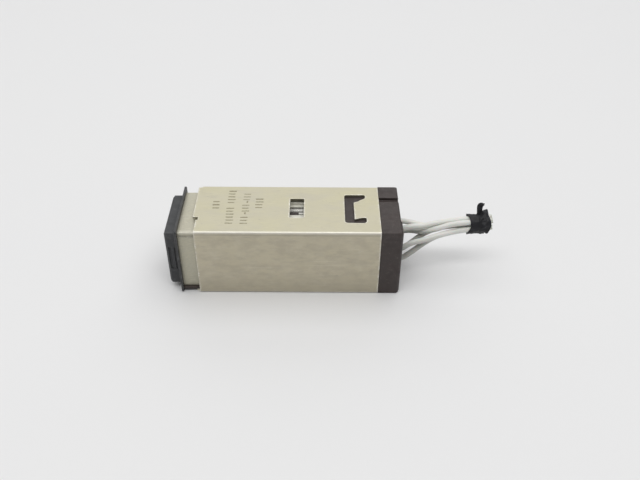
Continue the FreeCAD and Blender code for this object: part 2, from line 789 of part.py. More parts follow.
def make_header():
    body = new_body("header")
    grow(body, "Plate", "header_front", "shell_rear", [square("header_half")])
    notch = ("channel_near - shell_wall", "channel_far + shell_wall", "channel_floor - shell_wall",
             "sleeve_half")
    twin = ("-(channel_far + shell_wall)", "-(channel_near - shell_wall)", "-sleeve_half",
            "-(channel_floor - shell_wall)")
    cut(body, "ChannelNotches", "header_front", "shell_rear", [notch, twin])
    cut(body, "PinHoles", "header_front", "shell_rear",
        circles=[grid_place(step) + ("header_pin_radius",) for step in all_steps()])
    add_rivet_holes(body)
    pins = new_body("header_pins")
    grow(pins, "Pins", "header_pin_front", "header_pin_rear",
         circles=[grid_place(step) + ("header_pin_radius",) for step in all_steps()])
    break_edges(pins, "Tips", "Fillet", "header_pin_round",
                lambda middle, direction, edge: middle.x > SIZES["header_pin_rear"] - 1e-6)


# ---------------------------------------------------------------- the button


def make_cap():
    shell = new_body("cap_shell")
    grow(shell, "Block", "cap_front", "cap_rear", [square("cap_half")])
    break_edges(shell, "FrontChamfer", "Chamfer", "cap_chamfer",
                lambda middle, direction, edge: middle.x < SIZES["cap_front"] + 1e-6)
    cut(shell, "LensOpening", "cap_front", "cap_cavity_front", [square("lens_half")])
    cut(shell, "Cavity", "cap_cavity_front", "cap_rear", [square("cap_half - cap_wall")])
    recess_far = ("cap_half - finger_depth", "sleeve_half", "-finger_half", "finger_half")
    recess_near = ("-sleeve_half", "-(cap_half - finger_depth)", "-finger_half", "finger_half")
    cut(shell, "FingerSlots", "finger_front", "finger_rear", [recess_far, recess_near])
    middle = "(finger_front + finger_rear) / 2"
    rib_far = ("cap_half - finger_depth", "cap_half - finger_rib_depth", "-finger_half", "finger_half")
    rib_near = ("-(cap_half - finger_rib_depth)", "-(cap_half - finger_depth)", "-finger_half",
                "finger_half")
    grow(shell, "FingerRibs", middle + " - finger_rib_half", middle + " + finger_rib_half",
         [rib_far, rib_near])
    lens = new_body("cap_lens")
    grow(lens, "Lens", "lens_front", "cap_cavity_front", [square("lens_half")])
    divider = new_body("light_divider")
    reach = "cap_half - cap_wall"
    grow(divider, "Upright", "cap_cavity_front", "divider_rear",
         [("-divider_half", "divider_half", "-(%s)" % reach, reach)])
    grow(divider, "Level", "cap_cavity_front", "divider_rear",
         [("-(%s)" % reach, reach, "-divider_half", "divider_half")])


def lamp_places():
    return [("%d * lamp_pitch_half" % across, "%d * lamp_pitch_half" % up)
            for across in (-1, 1) for up in (-1, 1)]


def make_lamps():
    block = new_body("lamp_block")
    reach = "cap_half - cap_wall"
    grow(block, "Block", "divider_rear", "cap_rear",
         [("-lamp_block_half", "lamp_block_half", "-(%s)" % reach, reach)])
    cut(block, "LampHoles", "divider_rear", "cap_rear",
        circles=[place + ("lamp_radius",) for place in lamp_places()])
    lamps = new_body("lamps")
    grow(lamps, "Bulbs", "lamp_front", "lamp_rear",
         circles=[place + ("lamp_radius",) for place in lamp_places()])
    break_edges(lamps, "Domes", "Fillet", "lamp_round",
                lambda middle, direction, edge: middle.x < SIZES["lamp_front"] + 1e-6)


def make_carriage():
    plate = new_body("carriage_plate")
    grow(plate, "Plate", "carriage_front", "carriage_rear", [square("carriage_half")])
    grow(plate, "Prongs", "prong_front", "carriage_front",
         [("prong_inner", "prong_outer", "-prong_half", "prong_half"),
          ("-prong_outer", "-prong_inner", "-prong_half", "prong_half")])
    cut(plate, "ScrewAccess", "carriage_front", "carriage_rear",
        circles=[("screw_across", "screw_height", "access_radius"),
                 ("-screw_across", "-screw_height", "access_radius")])
    detents = new_body("detent_springs")
    grow(detents, "Leaves", "detent_front", "detent_rear",
         [("prong_outer", "detent_outer", "-detent_half", "detent_half"),
          ("-detent_outer", "-prong_outer", "-detent_half", "detent_half")])
    contacts = new_body("lamp_contacts")
    grow(contacts, "Discs", "carriage_front - lamp_contact_thick", "carriage_front",
         circles=[place + ("lamp_contact_radius",) for place in lamp_places()])
    plunger = new_body("plunger")
    grow(plunger, "Rod", "carriage_rear", "plunger_rear", circles=[("0", "0", "plunger_radius")])
    bridge = new_body("bridge_contact")
    grow(bridge, "Bar", "bridge_front", "bridge_rear",
         [("-bridge_reach", "bridge_reach", "-bridge_half", "bridge_half")])
    grow(bridge, "Boss", "bridge_front", "bridge_rear", circles=[("0", "0", "plunger_radius + bridge_half")])
    cut(bridge, "Bore", "bridge_front", "bridge_rear", circles=[("0", "0", "plunger_radius")])


def make_return_spring():
    """A coil between the carriage plate and the bulkhead, of half turns that meet smoothly.

    Each half turn is a plane arc, tilted by half a turn's rise.
    """
    clear = SIZES["bushing_clearance"] + SIZES["spring_wire_radius"]
    start = SIZES["carriage_rear"] + clear
    length = SIZES["bulkhead_front"] - clear - start
    rise = length / SIZES["spring_half_turns"]
    across = Vector(0, 1, 0)
    halves = []
    for number in range(SIZES["spring_half_turns"]):
        side = -1 if number % 2 else 1
        first = Vector(start + number * rise, 0, side * SIZES["spring_radius"])
        last = Vector(start + (number + 1) * rise, 0, -side * SIZES["spring_radius"])
        ring = Part.makeCircle(SIZES["spring_wire_radius"], first, across)
        section = Part.Face(Part.Wire([ring]))
        tilt = (last - first).cross(across).normalize()
        halves.append(section.revolve((first + last) / 2, tilt, side * 180))
    add_shape("return_spring", halves[0].multiFuse(halves[1:]).removeSplitter())


# ---------------------------------------------------------------- leads and tape


def on_bundle_line(station):
    """The middle of the bundle at that station."""
    return Vector(station, 0, BUNDLE_HEIGHT + BUNDLE_SLOPE * (station - BUNDLE_START))


def rounded_path(points):
    """Straight runs with a tangent arc at each inner point; returns the wire and the radii."""
    edges, radii = [], []
    start = points[0]
    for before, corner, after in zip(points, points[1:], points[2:]):
        arriving = (corner - before).normalize()
        leaving = (after - corner).normalize()
        half_turn = arriving.getAngle(leaving) / 2
        setback = 0.45 * min((corner - before).Length, (after - corner).Length)
        radii.append(setback / math.tan(half_turn))
        first = corner - arriving * setback
        last = corner + leaving * setback
        inwards = (leaving - arriving).normalize()
        middle = corner + inwards * (radii[-1] / math.cos(half_turn) - radii[-1])
        edges.append(Part.LineSegment(start, first).toShape())
        edges.append(Part.Arc(first, middle, last).toShape())
        start = last
    edges.append(Part.LineSegment(start, points[-1]).toShape())
    return Part.Wire(edges), radii


def make_lead(label, points):
    path, radii = rounded_path(points)
    ring = Part.makeCircle(SIZES["lead_radius"], points[0], points[1] - points[0])
    tube = path.makePipeShell([Part.Wire([ring])], True, False)
    expected = math.pi * SIZES["lead_radius"] ** 2 * path.Length
    print("%s: length %.2f, volume %.3f of %.3f, radii %s" % (
        label, path.Length, tube.Volume, expected, [round(radius, 1) for radius in radii]))
    add_shape(label, tube)
    leaving = (points[-1] - points[-2]).normalize()
    return Part.makeCylinder(SIZES["strand_radius"], SIZES["strand_length"], points[-1], leaving)


def make_leads():
    strands = [make_lead(label, [Vector(*point) for point in points])
               for label, points in LEAD_POINTS.items()]
    add_shape("lead_strands", Part.makeCompound(strands))


def bundle_direction():
    return Vector(1, 0, BUNDLE_SLOPE).normalize()


def make_tape():
    """A wrap round the leads, a knot over its rear end and the knot's loose tail."""
    start = on_bundle_line(SIZES["wrap_front"])
    along = bundle_direction()
    stretch = 1 / along.x
    wrap_length = (SIZES["knot_front"] - SIZES["wrap_front"]) * stretch
    knot_length = (SIZES["knot_rear"] - SIZES["knot_front"]) * stretch
    knot_start = on_bundle_line(SIZES["knot_front"])
    wrap = Part.makeCylinder(SIZES["wrap_radius"], wrap_length, start, along)
    wrap = wrap.cut(Part.makeCylinder(SIZES["wrap_inner_radius"], wrap_length, start, along))
    add_shape("tape_wrap", wrap)
    knot = Part.makeCylinder(SIZES["knot_radius"], knot_length, knot_start, along)
    knot = knot.cut(Part.makeCylinder(SIZES["wrap_inner_radius"], knot_length, knot_start, along))
    add_shape("tape_knot", knot)
    foot = knot_start + along * (knot_length / 2)
    tail = Part.makeBox(2 * SIZES["tail_half_along"], 2 * SIZES["tail_half_across"],
                        SIZES["tail_top"] - SIZES["tail_low"])
    tail.translate(foot + Vector(-SIZES["tail_half_along"], -SIZES["tail_half_across"], SIZES["tail_low"]))
    add_shape("tape_tail", tail.cut(Part.makeCylinder(SIZES["knot_radius"], 2 * knot_length,
                                                      foot - along * knot_length, along)))


# ---------------------------------------------------------------- build, check and write


def make_everything():
    make_mounting_sleeve()
    make_socket_block()
    make_socket_contacts()
    make_cavity_plugs()
    make_bezel_flange()
    make_shell("upper_shell", "upper_lip_base", over=False)
    add_rivet_holes(make_shell("lower_shell", "lower_lip_base", over=True))
    for side, over in (("top", False), ("bottom", True)):
        make_clamp_nut("clamp_nut_" + side, over)
        make_clamp_screw("clamp_screw_" + side, over)
        make_screw_clip("screw_clip_" + side, over)
    make_rail_and_pads()
    make_channel_stop()
    make_bulkhead()
    make_button_contacts()
    make_yoke()
    make_coil()
    make_armature()
    make_card_and_guide()
    make_contact_set()
    make_header()
    make_shell_rivets()
    make_cap()
    make_lamps()
    make_carriage()
    make_return_spring()
    make_leads()
    make_tape()
    document.recompute()


def check_everything():
    for thing in document.Objects:
        if "Invalid" in thing.State or "Error" in thing.State:
            sys.exit("%s failed: %s" % (thing.Label, thing.State))
    for piece in pieces:
        if piece.Shape.isNull() or not piece.Shape.isValid() or not piece.Shape.Solids:
            sys.exit("%s has no valid solid" % piece.Label)
        if piece.Shape.Volume <= 0:
            sys.exit("%s is inside out" % piece.Label)


def write_everything():
    os.makedirs("parts", exist_ok=True)
    for piece in pieces:
        piece.Shape.exportStep("parts/%s.step" % piece.Label)
    print("%d pieces written" % len(pieces))


fill_sheet()
make_everything()
check_everything()
write_everything()
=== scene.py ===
"""Looks for the sleeve-mounted plug-in relay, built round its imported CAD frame.

Everything is in metres in the part's own frame: the origin is the middle of the bezel flange's
back face, +X runs rearwards to the leads, +Y across and +Z up. Sizes are written in millimetres.
"""

import math
import random

import bmesh
import bpy
from mathutils import Matrix, Vector, geometry, noise


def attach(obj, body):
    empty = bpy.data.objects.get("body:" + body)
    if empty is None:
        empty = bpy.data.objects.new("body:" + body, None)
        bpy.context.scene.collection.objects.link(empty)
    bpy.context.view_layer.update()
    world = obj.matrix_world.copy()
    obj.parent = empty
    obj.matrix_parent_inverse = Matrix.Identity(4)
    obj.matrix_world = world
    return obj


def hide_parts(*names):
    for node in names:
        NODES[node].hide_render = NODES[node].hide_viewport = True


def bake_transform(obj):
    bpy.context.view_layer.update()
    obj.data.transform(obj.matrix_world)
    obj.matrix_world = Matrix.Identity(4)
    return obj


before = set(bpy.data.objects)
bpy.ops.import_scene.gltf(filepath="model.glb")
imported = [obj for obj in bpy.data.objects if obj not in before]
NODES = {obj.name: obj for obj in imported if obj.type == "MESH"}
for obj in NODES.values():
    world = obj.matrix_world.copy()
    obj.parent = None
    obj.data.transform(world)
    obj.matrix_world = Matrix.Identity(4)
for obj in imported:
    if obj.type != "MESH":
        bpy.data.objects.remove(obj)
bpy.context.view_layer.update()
MM = 0.001
FLOOR = -9.02
X, Y, Z = range(3)

# the sleeve's outside half width, its sheet and its outer bends
HALF, WALL, ROUND = 9.0, 0.5, 0.6


def mm(*values):
    return Vector(values) * MM


# -------- camera

CAMERA_PLACE = (31.639, -137.118, 110.373)
CAMERA_TURNS = ((-0.0059, "Z"), (0.0013, "Y"), (-0.892, "X"))
CAMERA_LENS = 41.75


def make_camera():
    data = bpy.data.cameras.new("camera")
    data.sensor_width = 36.0
    data.lens = CAMERA_LENS
    data.clip_start = 0.005
    data.clip_end = 20.0
    turn = Matrix.Identity(3)
    for angle, axis in CAMERA_TURNS:
        turn = turn @ Matrix.Rotation(angle, 3, axis)
    camera = bpy.data.objects.new("camera", data)
    camera.matrix_world = Matrix.Translation(mm(*CAMERA_PLACE)) @ turn.transposed().to_4x4()
    bpy.context.scene.collection.objects.link(camera)
    bpy.context.scene.camera = camera


make_camera()


# -------- materials


class Look:
    """A node material: a principled shader, with noise for its colour, gloss and relief."""

    def __init__(self, name, colour, roughness, metallic=0.0):
        self.material = bpy.data.materials.new(name)
        self.material.use_nodes = True
        self.tree = self.material.node_tree
        self.shader = self.tree.nodes["Principled BSDF"]
        self.shader.inputs["Metallic"].default_value = metallic
        self.place = self.tree.nodes.new("ShaderNodeTexCoord").outputs["Object"]
        self.colour = self.flat(colour)
        self.roughness = roughness
        self.normal = None

    def node(self, kind, **settings):
        made = self.tree.nodes.new("ShaderNode" + kind)
        for name, value in settings.items():
            setattr(made, name, value)
        return made

    def plug(self, value, socket):
        """Link another node's output to an input, or set the input to a plain value."""
        if isinstance(value, bpy.types.NodeSocket):
            self.tree.links.new(value, socket)
        else:
            socket.default_value = value

    def feed(self, made, **inputs):
        for name, value in inputs.items():
            self.plug(value, made.inputs[name.replace("_", " ")])
        return made

    def flat(self, colour):
        return tuple(colour) + (1.0,)

    def grain(self, size, stretch=(1, 1, 1), turn=(0, 0, 0), detail=4.0, seed=0.0, distortion=0.0):
        """Noise whose features are about size millimetres, drawn out by stretch."""
        mapping = self.feed(self.node("Mapping"), Vector=self.place, Rotation=turn,
                            Scale=[1 / (size * MM * s) for s in stretch],
                            Location=(seed, seed * 0.7, -seed))
        texture = self.feed(self.node("TexNoise"), Vector=mapping.outputs["Vector"], Scale=1.0,
                            Detail=detail, Roughness=0.55, Distortion=distortion)
        return texture.outputs["Fac"]

    def ramp(self, value, low, high, out_low=0.0, out_high=1.0):
        """The value stretched so that low to high becomes out_low to out_high."""
        made = self.feed(self.node("MapRange", clamp=True), Value=value, From_Min=low, From_Max=high,
                         To_Min=out_low, To_Max=out_high)
        return made.outputs["Result"]

    def combine(self, operation, first, second):
        made = self.node("Math", operation=operation)
        for socket, value in zip(made.inputs, (first, second)):
            self.plug(value, socket)
        return made.outputs["Value"]

    def times(self, first, second):
        """Two masks, or a mask and a number, multiplied."""
        return self.combine("MULTIPLY", first, second)

    def either(self, first, second):
        """High where either mask is."""
        return self.combine("MAXIMUM", first, second)

    def tint(self, mask, colour, amount=None):
        """Blend the colour in where the mask is high, wholly or by that amount."""
        mask = mask if amount is None else self.times(mask, amount)
        made = self.feed(self.node("Mix", data_type="RGBA"), Factor=mask)
        self.plug(self.colour, made.inputs[6])
        self.plug(self.flat(colour), made.inputs[7])
        self.colour = made.outputs[2]
        return self

    def gloss(self, mask, roughness):
        """Blend the roughness towards that value where the mask is high."""
        made = self.feed(self.node("Mix", data_type="FLOAT"), Factor=mask)
        self.plug(self.roughness, made.inputs[2])
        self.plug(roughness, made.inputs[3])
        self.roughness = made.outputs[0]
        return self

    def dull(self, mask, metallic):
        """Bring the metal down to that value where the mask is high."""
        bright = self.shader.inputs["Metallic"].default_value
        self.plug(self.ramp(mask, 0.0, 1.0, bright, metallic), self.shader.inputs["Metallic"])
        return self

    def patches(self, colour, size, low, high, amount=1.0, within=None, **settings):
        """Blend the colour in where noise of that size rises from low to high."""
        mask = self.ramp(self.grain(size, **settings), low, high, 0, amount)
        return self.tint(mask if within is None else self.times(within, mask), colour)

    def gloss_patches(self, roughness, size, low, high, **settings):
        """Blend the roughness towards that value where noise of that size rises from low to high."""
        return self.gloss(self.ramp(self.grain(size, **settings), low, high), roughness)

    def station(self, start, end, axis=X):
        """A mask that rises from one place along an axis to another, in millimetres."""
        parts = self.feed(self.node("SeparateXYZ"), Vector=self.place)
        return self.ramp(parts.outputs[axis], start * MM, end * MM)

    def beyond(self, start, end, axis):
        """A mask that rises with distance from the middle, both ways."""
        return self.either(self.station(start, end, axis), self.station(-start, -end, axis))

    def band(self, rise, fall, axis):
        """A mask that is high between a rise and a fall along an axis."""
        return self.times(self.station(*rise, axis), self.station(*fall, axis))

    def relief(self, height, depth):
        """Bump of that depth in millimetres on top of the bumps so far."""
        made = self.feed(self.node("Bump"), Strength=1.0, Distance=depth * MM, Height=height)
        if self.normal is not None:
            self.plug(self.normal, made.inputs["Normal"])
        self.normal = made.outputs["Normal"]
        return self

    def worn_edges_and_highlight(self, width, colour, roughness, amount=1.0, patch=1.2):
        """Rubbed edges, and where pale and wide a painted edge highlight too: where a rounded normal leaves
        the true one, broken up by noise.
        """
        bevel = self.feed(self.node("Bevel", samples=4), Radius=width * MM)
        dot = self.node("VectorMath", operation="DOT_PRODUCT")
        self.plug(bevel.outputs["Normal"], dot.inputs[0])
        self.plug(self.node("NewGeometry").outputs["Normal"], dot.inputs[1])
        edge = self.ramp(dot.outputs["Value"], 0.985, 0.80)
        broken = self.ramp(self.grain(patch, seed=3.1, detail=6.0), 0.40, 0.62, 0.15, amount)
        mask = self.times(edge, broken)
        self.tint(mask, colour)
        self.gloss(mask, roughness)
        return self

    def scratches(self, length, width, colour, roughness, turn, amount=0.5, level=0.70, seed=5.0):
        """Sparse straight marks: noise drawn out very long, of which only the crests show."""
        lines = self.grain(width, (length / width, 1, 1), turn, detail=1.0, seed=seed)
        where = self.grain(length * 0.8, seed=seed + 2, detail=1.0)
        mask = self.times(self.ramp(lines, level, level + 0.04, 0, amount), self.ramp(where, 0.5, 0.62))
        self.tint(mask, colour)
        self.gloss(mask, roughness)
        return self

    def dust(self, colour=(0.75, 0.74, 0.70), size=0.22, amount=0.25, level=0.70):
        specks = self.ramp(self.grain(size, seed=9.3, detail=2.0), level, level + 0.06, 0, amount)
        self.tint(specks, colour)
        self.gloss(specks, 0.8)
        return self

    def done(self, **inputs):
        self.feed(self.shader, Base_Color=self.colour, Roughness=self.roughness, **inputs)
        if self.normal is not None:
            self.plug(self.normal, self.shader.inputs["Normal"])
        return self.material


def sleeve_look():
    """Clear-chromate aluminium sheet: satin, faintly yellow in patches, rubbed and scuffed.

    The two sides carry painted shade, darker and browner than the top and darker again towards the
    bottom, with a painted dark reflection under the top bend. The outer bends and the raised burr carry
    a painted highlight, the rubbed edges partly so, and the cut edge of the sheet carries painted shade in
    the openings.
    """
    look = Look("sleeve_metal", (0.60, 0.565, 0.43), 0.46, 0.55)
    look.patches((0.61, 0.575, 0.40), 7.0, 0.35, 0.68, 0.8, stretch=(1.6, 1, 1), detail=3.0)
    look.patches((0.55, 0.52, 0.44), 2.6, 0.48, 0.75, 0.6, stretch=(2.5, 1, 1), detail=5.0, seed=1.0)
    sides = look.beyond(8.6, 8.95, Y)
    # painted shade: the two sides are darker and browner than the top
    look.tint(sides, (0.57, 0.515, 0.395), 0.75)
    look.patches((0.44, 0.395, 0.31), 1.8, 0.42, 0.62, 0.5, sides, stretch=(2, 1, 1), detail=6.0, seed=3.0)
    look.patches((0.64, 0.60, 0.49), 1.1, 0.52, 0.70, 0.35, sides, stretch=(1.6, 1, 1), detail=5.0, seed=6.5)
    # painted shade: the sides darken towards the bottom
    look.tint(look.times(sides, look.times(look.station(-2.0, -HALF, Z), 0.55)), (0.42, 0.385, 0.30))
    streaks = look.grain(0.11, (26, 1, 1), detail=3.0, seed=2.0)
    look.tint(look.ramp(streaks, 0.45, 0.72, 0, 0.4), (0.49, 0.465, 0.36))
    look.gloss_patches(0.58, 4.0, 0.35, 0.70, detail=5.0, seed=4.0)
    look.gloss(look.ramp(streaks, 0.40, 0.75, 0, 0.6), 0.36)
    look.scratches(9.0, 0.09, (0.76, 0.73, 0.64), 0.30, (0, 0, 0.12), 0.6, 0.69, 5.0)
    look.scratches(4.0, 0.10, (0.26, 0.245, 0.21), 0.50, (0.5, 0.9, -1.1), 0.5, 0.69, 7.7)
    look.scratches(3.0, 0.10, (0.30, 0.28, 0.24), 0.50, (-0.4, 0.3, 0.9), 0.5, 0.69, 11.9)
    look.patches((0.40, 0.38, 0.32), 0.55, 0.68, 0.78, 0.4, detail=2.0, seed=6.0)
    # painted dark reflection: a darker band on the sides just under the top bend
    painted_reflection_band = look.band((7.9, 8.2), (8.55, 8.3), Z)
    look.tint(look.times(sides, look.times(painted_reflection_band, 0.45)), (0.34, 0.315, 0.26))
    # rubbed edges, pale and wide: partly real wear, partly a painted edge highlight
    look.worn_edges_and_highlight(0.7, (0.98, 0.97, 0.93), 0.28, 1.0)
    # painted highlight along the outer bends
    bends = look.times(look.beyond(8.48, 8.62, Y), look.beyond(8.48, 8.62, Z))
    look.tint(bends, (1.0, 0.99, 0.96), 0.35)
    # painted shade on the cut edge of the sheet inside the openings
    cut_edge_painted_shade = look.times(look.band((8.52, 8.56), (8.96, 8.90), Z), look.band((-8.3, -8.2), (8.3, 8.2), Y))
    look.tint(cut_edge_painted_shade, (0.18, 0.165, 0.11), 0.75)
    # painted highlight on the raised burr
    burr_painted_highlight = look.station(9.05, 9.16, Z)
    look.tint(burr_painted_highlight, (0.95, 0.95, 0.93))
    look.relief(streaks, 0.004)
    look.relief(look.grain(0.06, detail=2.0, seed=8.0), 0.003)
    return look.done()


def shell_look():
    """The housing's own sheet: the same finish, matt inside the sleeve and lighter there with painted light,
    and with a painted highlight along the near side's top bend.

    A brown line marks where the upper shell laps over the lower one on each side.
    """
    look = Look("shell_metal", (0.51, 0.49, 0.395), 0.48, 0.6)
    look.patches((0.53, 0.50, 0.38), 5.0, 0.36, 0.66, 0.7, stretch=(1, 1.6, 1))
    streaks = look.grain(0.10, (22, 1, 1), detail=3.0, seed=2.0)
    look.tint(look.ramp(streaks, 0.46, 0.72, 0, 0.4), (0.39, 0.375, 0.315))
    look.gloss(look.ramp(streaks, 0.40, 0.75, 0, 0.6), 0.36)
    look.scratches(5.0, 0.08, (0.66, 0.65, 0.58), 0.30, (0, 0, 0.05), 0.6, 0.69, 3.0)
    look.patches((0.62, 0.59, 0.475), 0.7, 0.50, 0.62, 0.5, stretch=(1, 0.25, 0.25), seed=9.0)
    sides = look.beyond(7.74, 7.79, Y)
    lap = look.band((6.35, 6.75), (7.35, 6.95), Z)
    look.tint(look.times(look.times(sides, lap), 0.8), (0.24, 0.22, 0.16))
    # painted highlight along the top bend of the near side
    near_bend_painted_highlight = look.times(look.station(7.55, 7.72, Z), look.times(look.station(-6.6, -7.2, Y), 0.6))
    look.tint(near_bend_painted_highlight, (0.70, 0.675, 0.575))
    # painted light: the part inside the sleeve is lighter, standing in for light that little reaches through
    # the window
    covered = look.station(19.0, 22.0)
    look.tint(covered, (0.66, 0.65, 0.57))
    look.dull(covered, 0.05)
    look.patches((0.46, 0.45, 0.38), 0.8, 0.52, 0.70, 0.4, seed=12.0)
    # rubbed edges: partly real wear, partly a painted edge highlight
    look.worn_edges_and_highlight(0.4, (0.86, 0.85, 0.77), 0.30, 0.9)
    look.relief(streaks, 0.004)
    return look.done()


def metal_look(name, colour, roughness, metallic=1.0):
    """Bare or plated metal: faint tarnish, fine tool marks and paler edges."""
    look = Look(name, colour, roughness, metallic)
    look.patches([c * 0.72 for c in colour], 1.6, 0.42, 0.70, 0.7, detail=5.0)
    turned = look.grain(0.08, (1, 6, 6), detail=3.0, seed=1.5)
    look.gloss(look.ramp(turned, 0.40, 0.70, 0, 0.7), min(1.0, roughness + 0.18))
    pale = [min(1.0, c * 1.35 + 0.04) for c in colour]
    look.worn_edges_and_highlight(0.12, pale, max(0.1, roughness - 0.12), 0.8, 0.5)
    look.relief(turned, 0.003)
    return look.done()


def moulded_look(name, colour, roughness, light, depth=0.006, dusty=0.25):
    """Moulded plastic: spark-eroded grain, faint flow marks, rubbed edges and a little dust."""
    look = Look(name, colour, roughness)
    dark = [c * 0.66 for c in colour]
    look.patches(dark, 3.2, 0.38, 0.68, 0.75, stretch=(1.8, 1, 1), detail=5.0, distortion=0.6)
    look.patches(light, 0.9, 0.55, 0.75, 0.35, seed=2.0)
    look.gloss_patches(min(1.0, roughness + 0.16), 1.8, 0.4, 0.7, detail=5.0, seed=4.0)
    look.scratches(2.5, 0.07, light, roughness, (0.3, 0.6, 0.8), 0.35, 0.71, 6.0)
    look.worn_edges_and_highlight(0.22, light, max(0.2, roughness - 0.1), 0.75, 0.8)
    look.dust(amount=dusty)
    look.relief(look.grain(0.10, detail=3.0, seed=7.0), depth)
    look.relief(look.grain(1.4, detail=2.0, seed=8.0), 0.02)
    return look.done()


def clear_look(name, colour, roughness, transmission, cloud):
    """Clear or smoked material, faintly clouded and smeared."""
    look = Look(name, colour, roughness)
    look.gloss_patches(roughness + 0.12, 1.2, 0.45, 0.75, detail=5.0)
    look.patches(cloud, 2.2, 0.4, 0.7, 0.5, detail=3.0, seed=3.0)
    look.relief(look.grain(0.5, detail=2.0, seed=2.0), 0.004)
    return look.done(Transmission_Weight=transmission, IOR=1.49)


def jacket_look():
    """White extruded insulation, a little grey with handling, with painted shade lower down."""
    look = Look("lead_jacket", (0.76, 0.765, 0.725), 0.42)
    look.patches((0.66, 0.665, 0.61), 2.4, 0.40, 0.70, 0.8, stretch=(2.2, 1, 1))
    look.patches((0.42, 0.41, 0.36), 0.35, 0.64, 0.76, 0.45, detail=3.0, seed=2.0)
    look.scratches(1.8, 0.06, (0.45, 0.44, 0.40), 0.5, (0, 0, 0.25), 0.5, 0.69, 4.0)
    # painted shade: the leads grow greyer lower down
    look.tint(look.times(look.station(3.4, 0.2, Z), 0.9), (0.43, 0.43, 0.395))
    look.gloss_patches(0.56, 0.8, 0.4, 0.7, seed=5.0)
    look.relief(look.grain(0.16, (9, 1, 1), detail=2.0, seed=6.0), 0.012)
    return look.done(Subsurface_Weight=0.12, Subsurface_Scale=0.0006, Coat_Weight=0.15)


def tape_look():
    """Waxed black tape: blue-black, a soft sheen on the creases and fine weave."""
    look = Look("black_tape", (0.011, 0.011, 0.013), 0.60)
    look.patches((0.018, 0.019, 0.025), 1.1, 0.45, 0.72, 0.8, detail=5.0)
    look.patches((0.06, 0.06, 0.065), 0.25, 0.62, 0.74, 0.4, detail=3.0, seed=2.0)
    look.gloss_patches(0.44, 0.7, 0.42, 0.66, detail=5.0, seed=3.0)
    look.worn_edges_and_highlight(0.14, (0.07, 0.07, 0.08), 0.4, 0.7, 0.6)
    look.dust((0.5, 0.5, 0.46), 0.16, 0.35, 0.71)
    look.relief(look.grain(0.09, (1, 3, 3), detail=2.0, seed=4.0), 0.012)
    look.relief(look.grain(0.45, (1, 2.5, 2.5), detail=3.0, seed=6.0), 0.05)
    return look.done(Specular_IOR_Level=0.35)


def ink_look():
    """Rubber-stamped ink, faded and worn through in spots."""
    look = Look("stamp_ink", (0.26, 0.235, 0.15), 0.62)
    look.patches((0.40, 0.365, 0.25), 0.25, 0.42, 0.66, 0.8)
    look.relief(look.grain(0.1, detail=2.0, seed=2.0), 0.004)
    return look.done(Metallic=0.1)


# moulded: colour, roughness, colour of rubbed edges, and where they differ depth of grain and dust
MOULDED = {
    "black_metal": ((0.040, 0.041, 0.043), 0.42, (0.20, 0.20, 0.20), 0.003, 0.15),
    "black_plastic": ((0.050, 0.052, 0.055), 0.56, (0.12, 0.12, 0.12)),
    "brown_plastic": ((0.042, 0.030, 0.027), 0.46, (0.095, 0.075, 0.07), 0.005),
    "white_plastic": ((0.74, 0.73, 0.68), 0.45, (0.85, 0.84, 0.80), 0.004),
    "header_plastic": ((0.10, 0.115, 0.095), 0.5, (0.20, 0.22, 0.18)),
    "bobbin_plastic": ((0.46, 0.36, 0.22), 0.45, (0.60, 0.50, 0.34)),
}
# metal: colour, roughness and where it isn't 1 how metallic
METAL = {
    "copper_wire": ((0.66, 0.26, 0.12), 0.30, 0.9),
    "soft_iron": ((0.50, 0.50, 0.49), 0.42),
    "plated_steel": ((0.76, 0.75, 0.71), 0.34, 0.6),
    "spring_steel": ((0.58, 0.58, 0.57), 0.26),
    "contact_gold": ((0.83, 0.62, 0.28), 0.26),
    "tinned_copper": ((0.60, 0.62, 0.52), 0.42, 0.8),
}
LOOKS = {
    "sleeve_metal": sleeve_look(),
    "shell_metal": shell_look(),
    "smoked_lens": clear_look("smoked_lens", (0.16, 0.15, 0.15), 0.12, 0.55, (0.10, 0.10, 0.11)),
    "lamp_glass": clear_look("lamp_glass", (0.93, 0.93, 0.90), 0.03, 0.95, (0.88, 0.88, 0.84)),
    "lead_jacket": jacket_look(),
    "black_tape": tape_look(),
}
for material_name, how in MOULDED.items():
    LOOKS[material_name] = moulded_look(material_name, *how)
for material_name, how in METAL.items():
    LOOKS[material_name] = metal_look(material_name, *how)
INK = ink_look()


# -------- making pieces

MERGE = 0.0005 * MM


def link(name, data, slot, body, replaced=(), material=None):
    """A new object in the scene with its finish, its body and the CAD nodes that it stands for.

    A piece that is to be blended between two bodies has no body here.
    """
    piece = bpy.data.objects.new(name, data)
    bpy.context.scene.collection.objects.link(piece)
    data.materials.clear()
    data.materials.append(material or LOOKS[slot])
    if body:
        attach(piece, body)
    if replaced:
        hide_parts(*replaced)
    return piece


def mesh_from(bm, name, smooth_below=42.0):
    """The bmesh as a mesh, smooth but for its sharp edges."""
    bmesh.ops.recalc_face_normals(bm, faces=bm.faces)
    data = bpy.data.meshes.new(name)
    bm.to_mesh(data)
    bm.free()
    for polygon in data.polygons:
        polygon.use_smooth = True
    data.set_sharp_from_angle(angle=math.radians(smooth_below))
    return data


def shaped(name, bm, smooth_below, slot, body, replaced=(), material=None):
    """A new piece from a bmesh, which is used up."""
    data = mesh_from(bm, name.removesuffix("_looks"), smooth_below)
    return link(name, data, slot, body, replaced, material)


def even_shading(piece):
    """Normals that follow the large faces, so that bevels shade as thin rounds."""
    modifier = piece.modifiers.new("normals", "WEIGHTED_NORMAL")
    modifier.keep_sharp = True


def round_edges(bm, width, segments=3, above=44.0):
    """Round every edge that turns by more than that angle."""
    sharp = [edge for edge in bm.edges
             if len(edge.link_faces) == 2 and edge.calc_face_angle(0) > math.radians(above)]
    if sharp and width > 0:
        bmesh.ops.bevel(bm, geom=sharp, offset=width * MM, segments=segments, profile=0.5,
                        affect="EDGES", clamp_overlap=False)


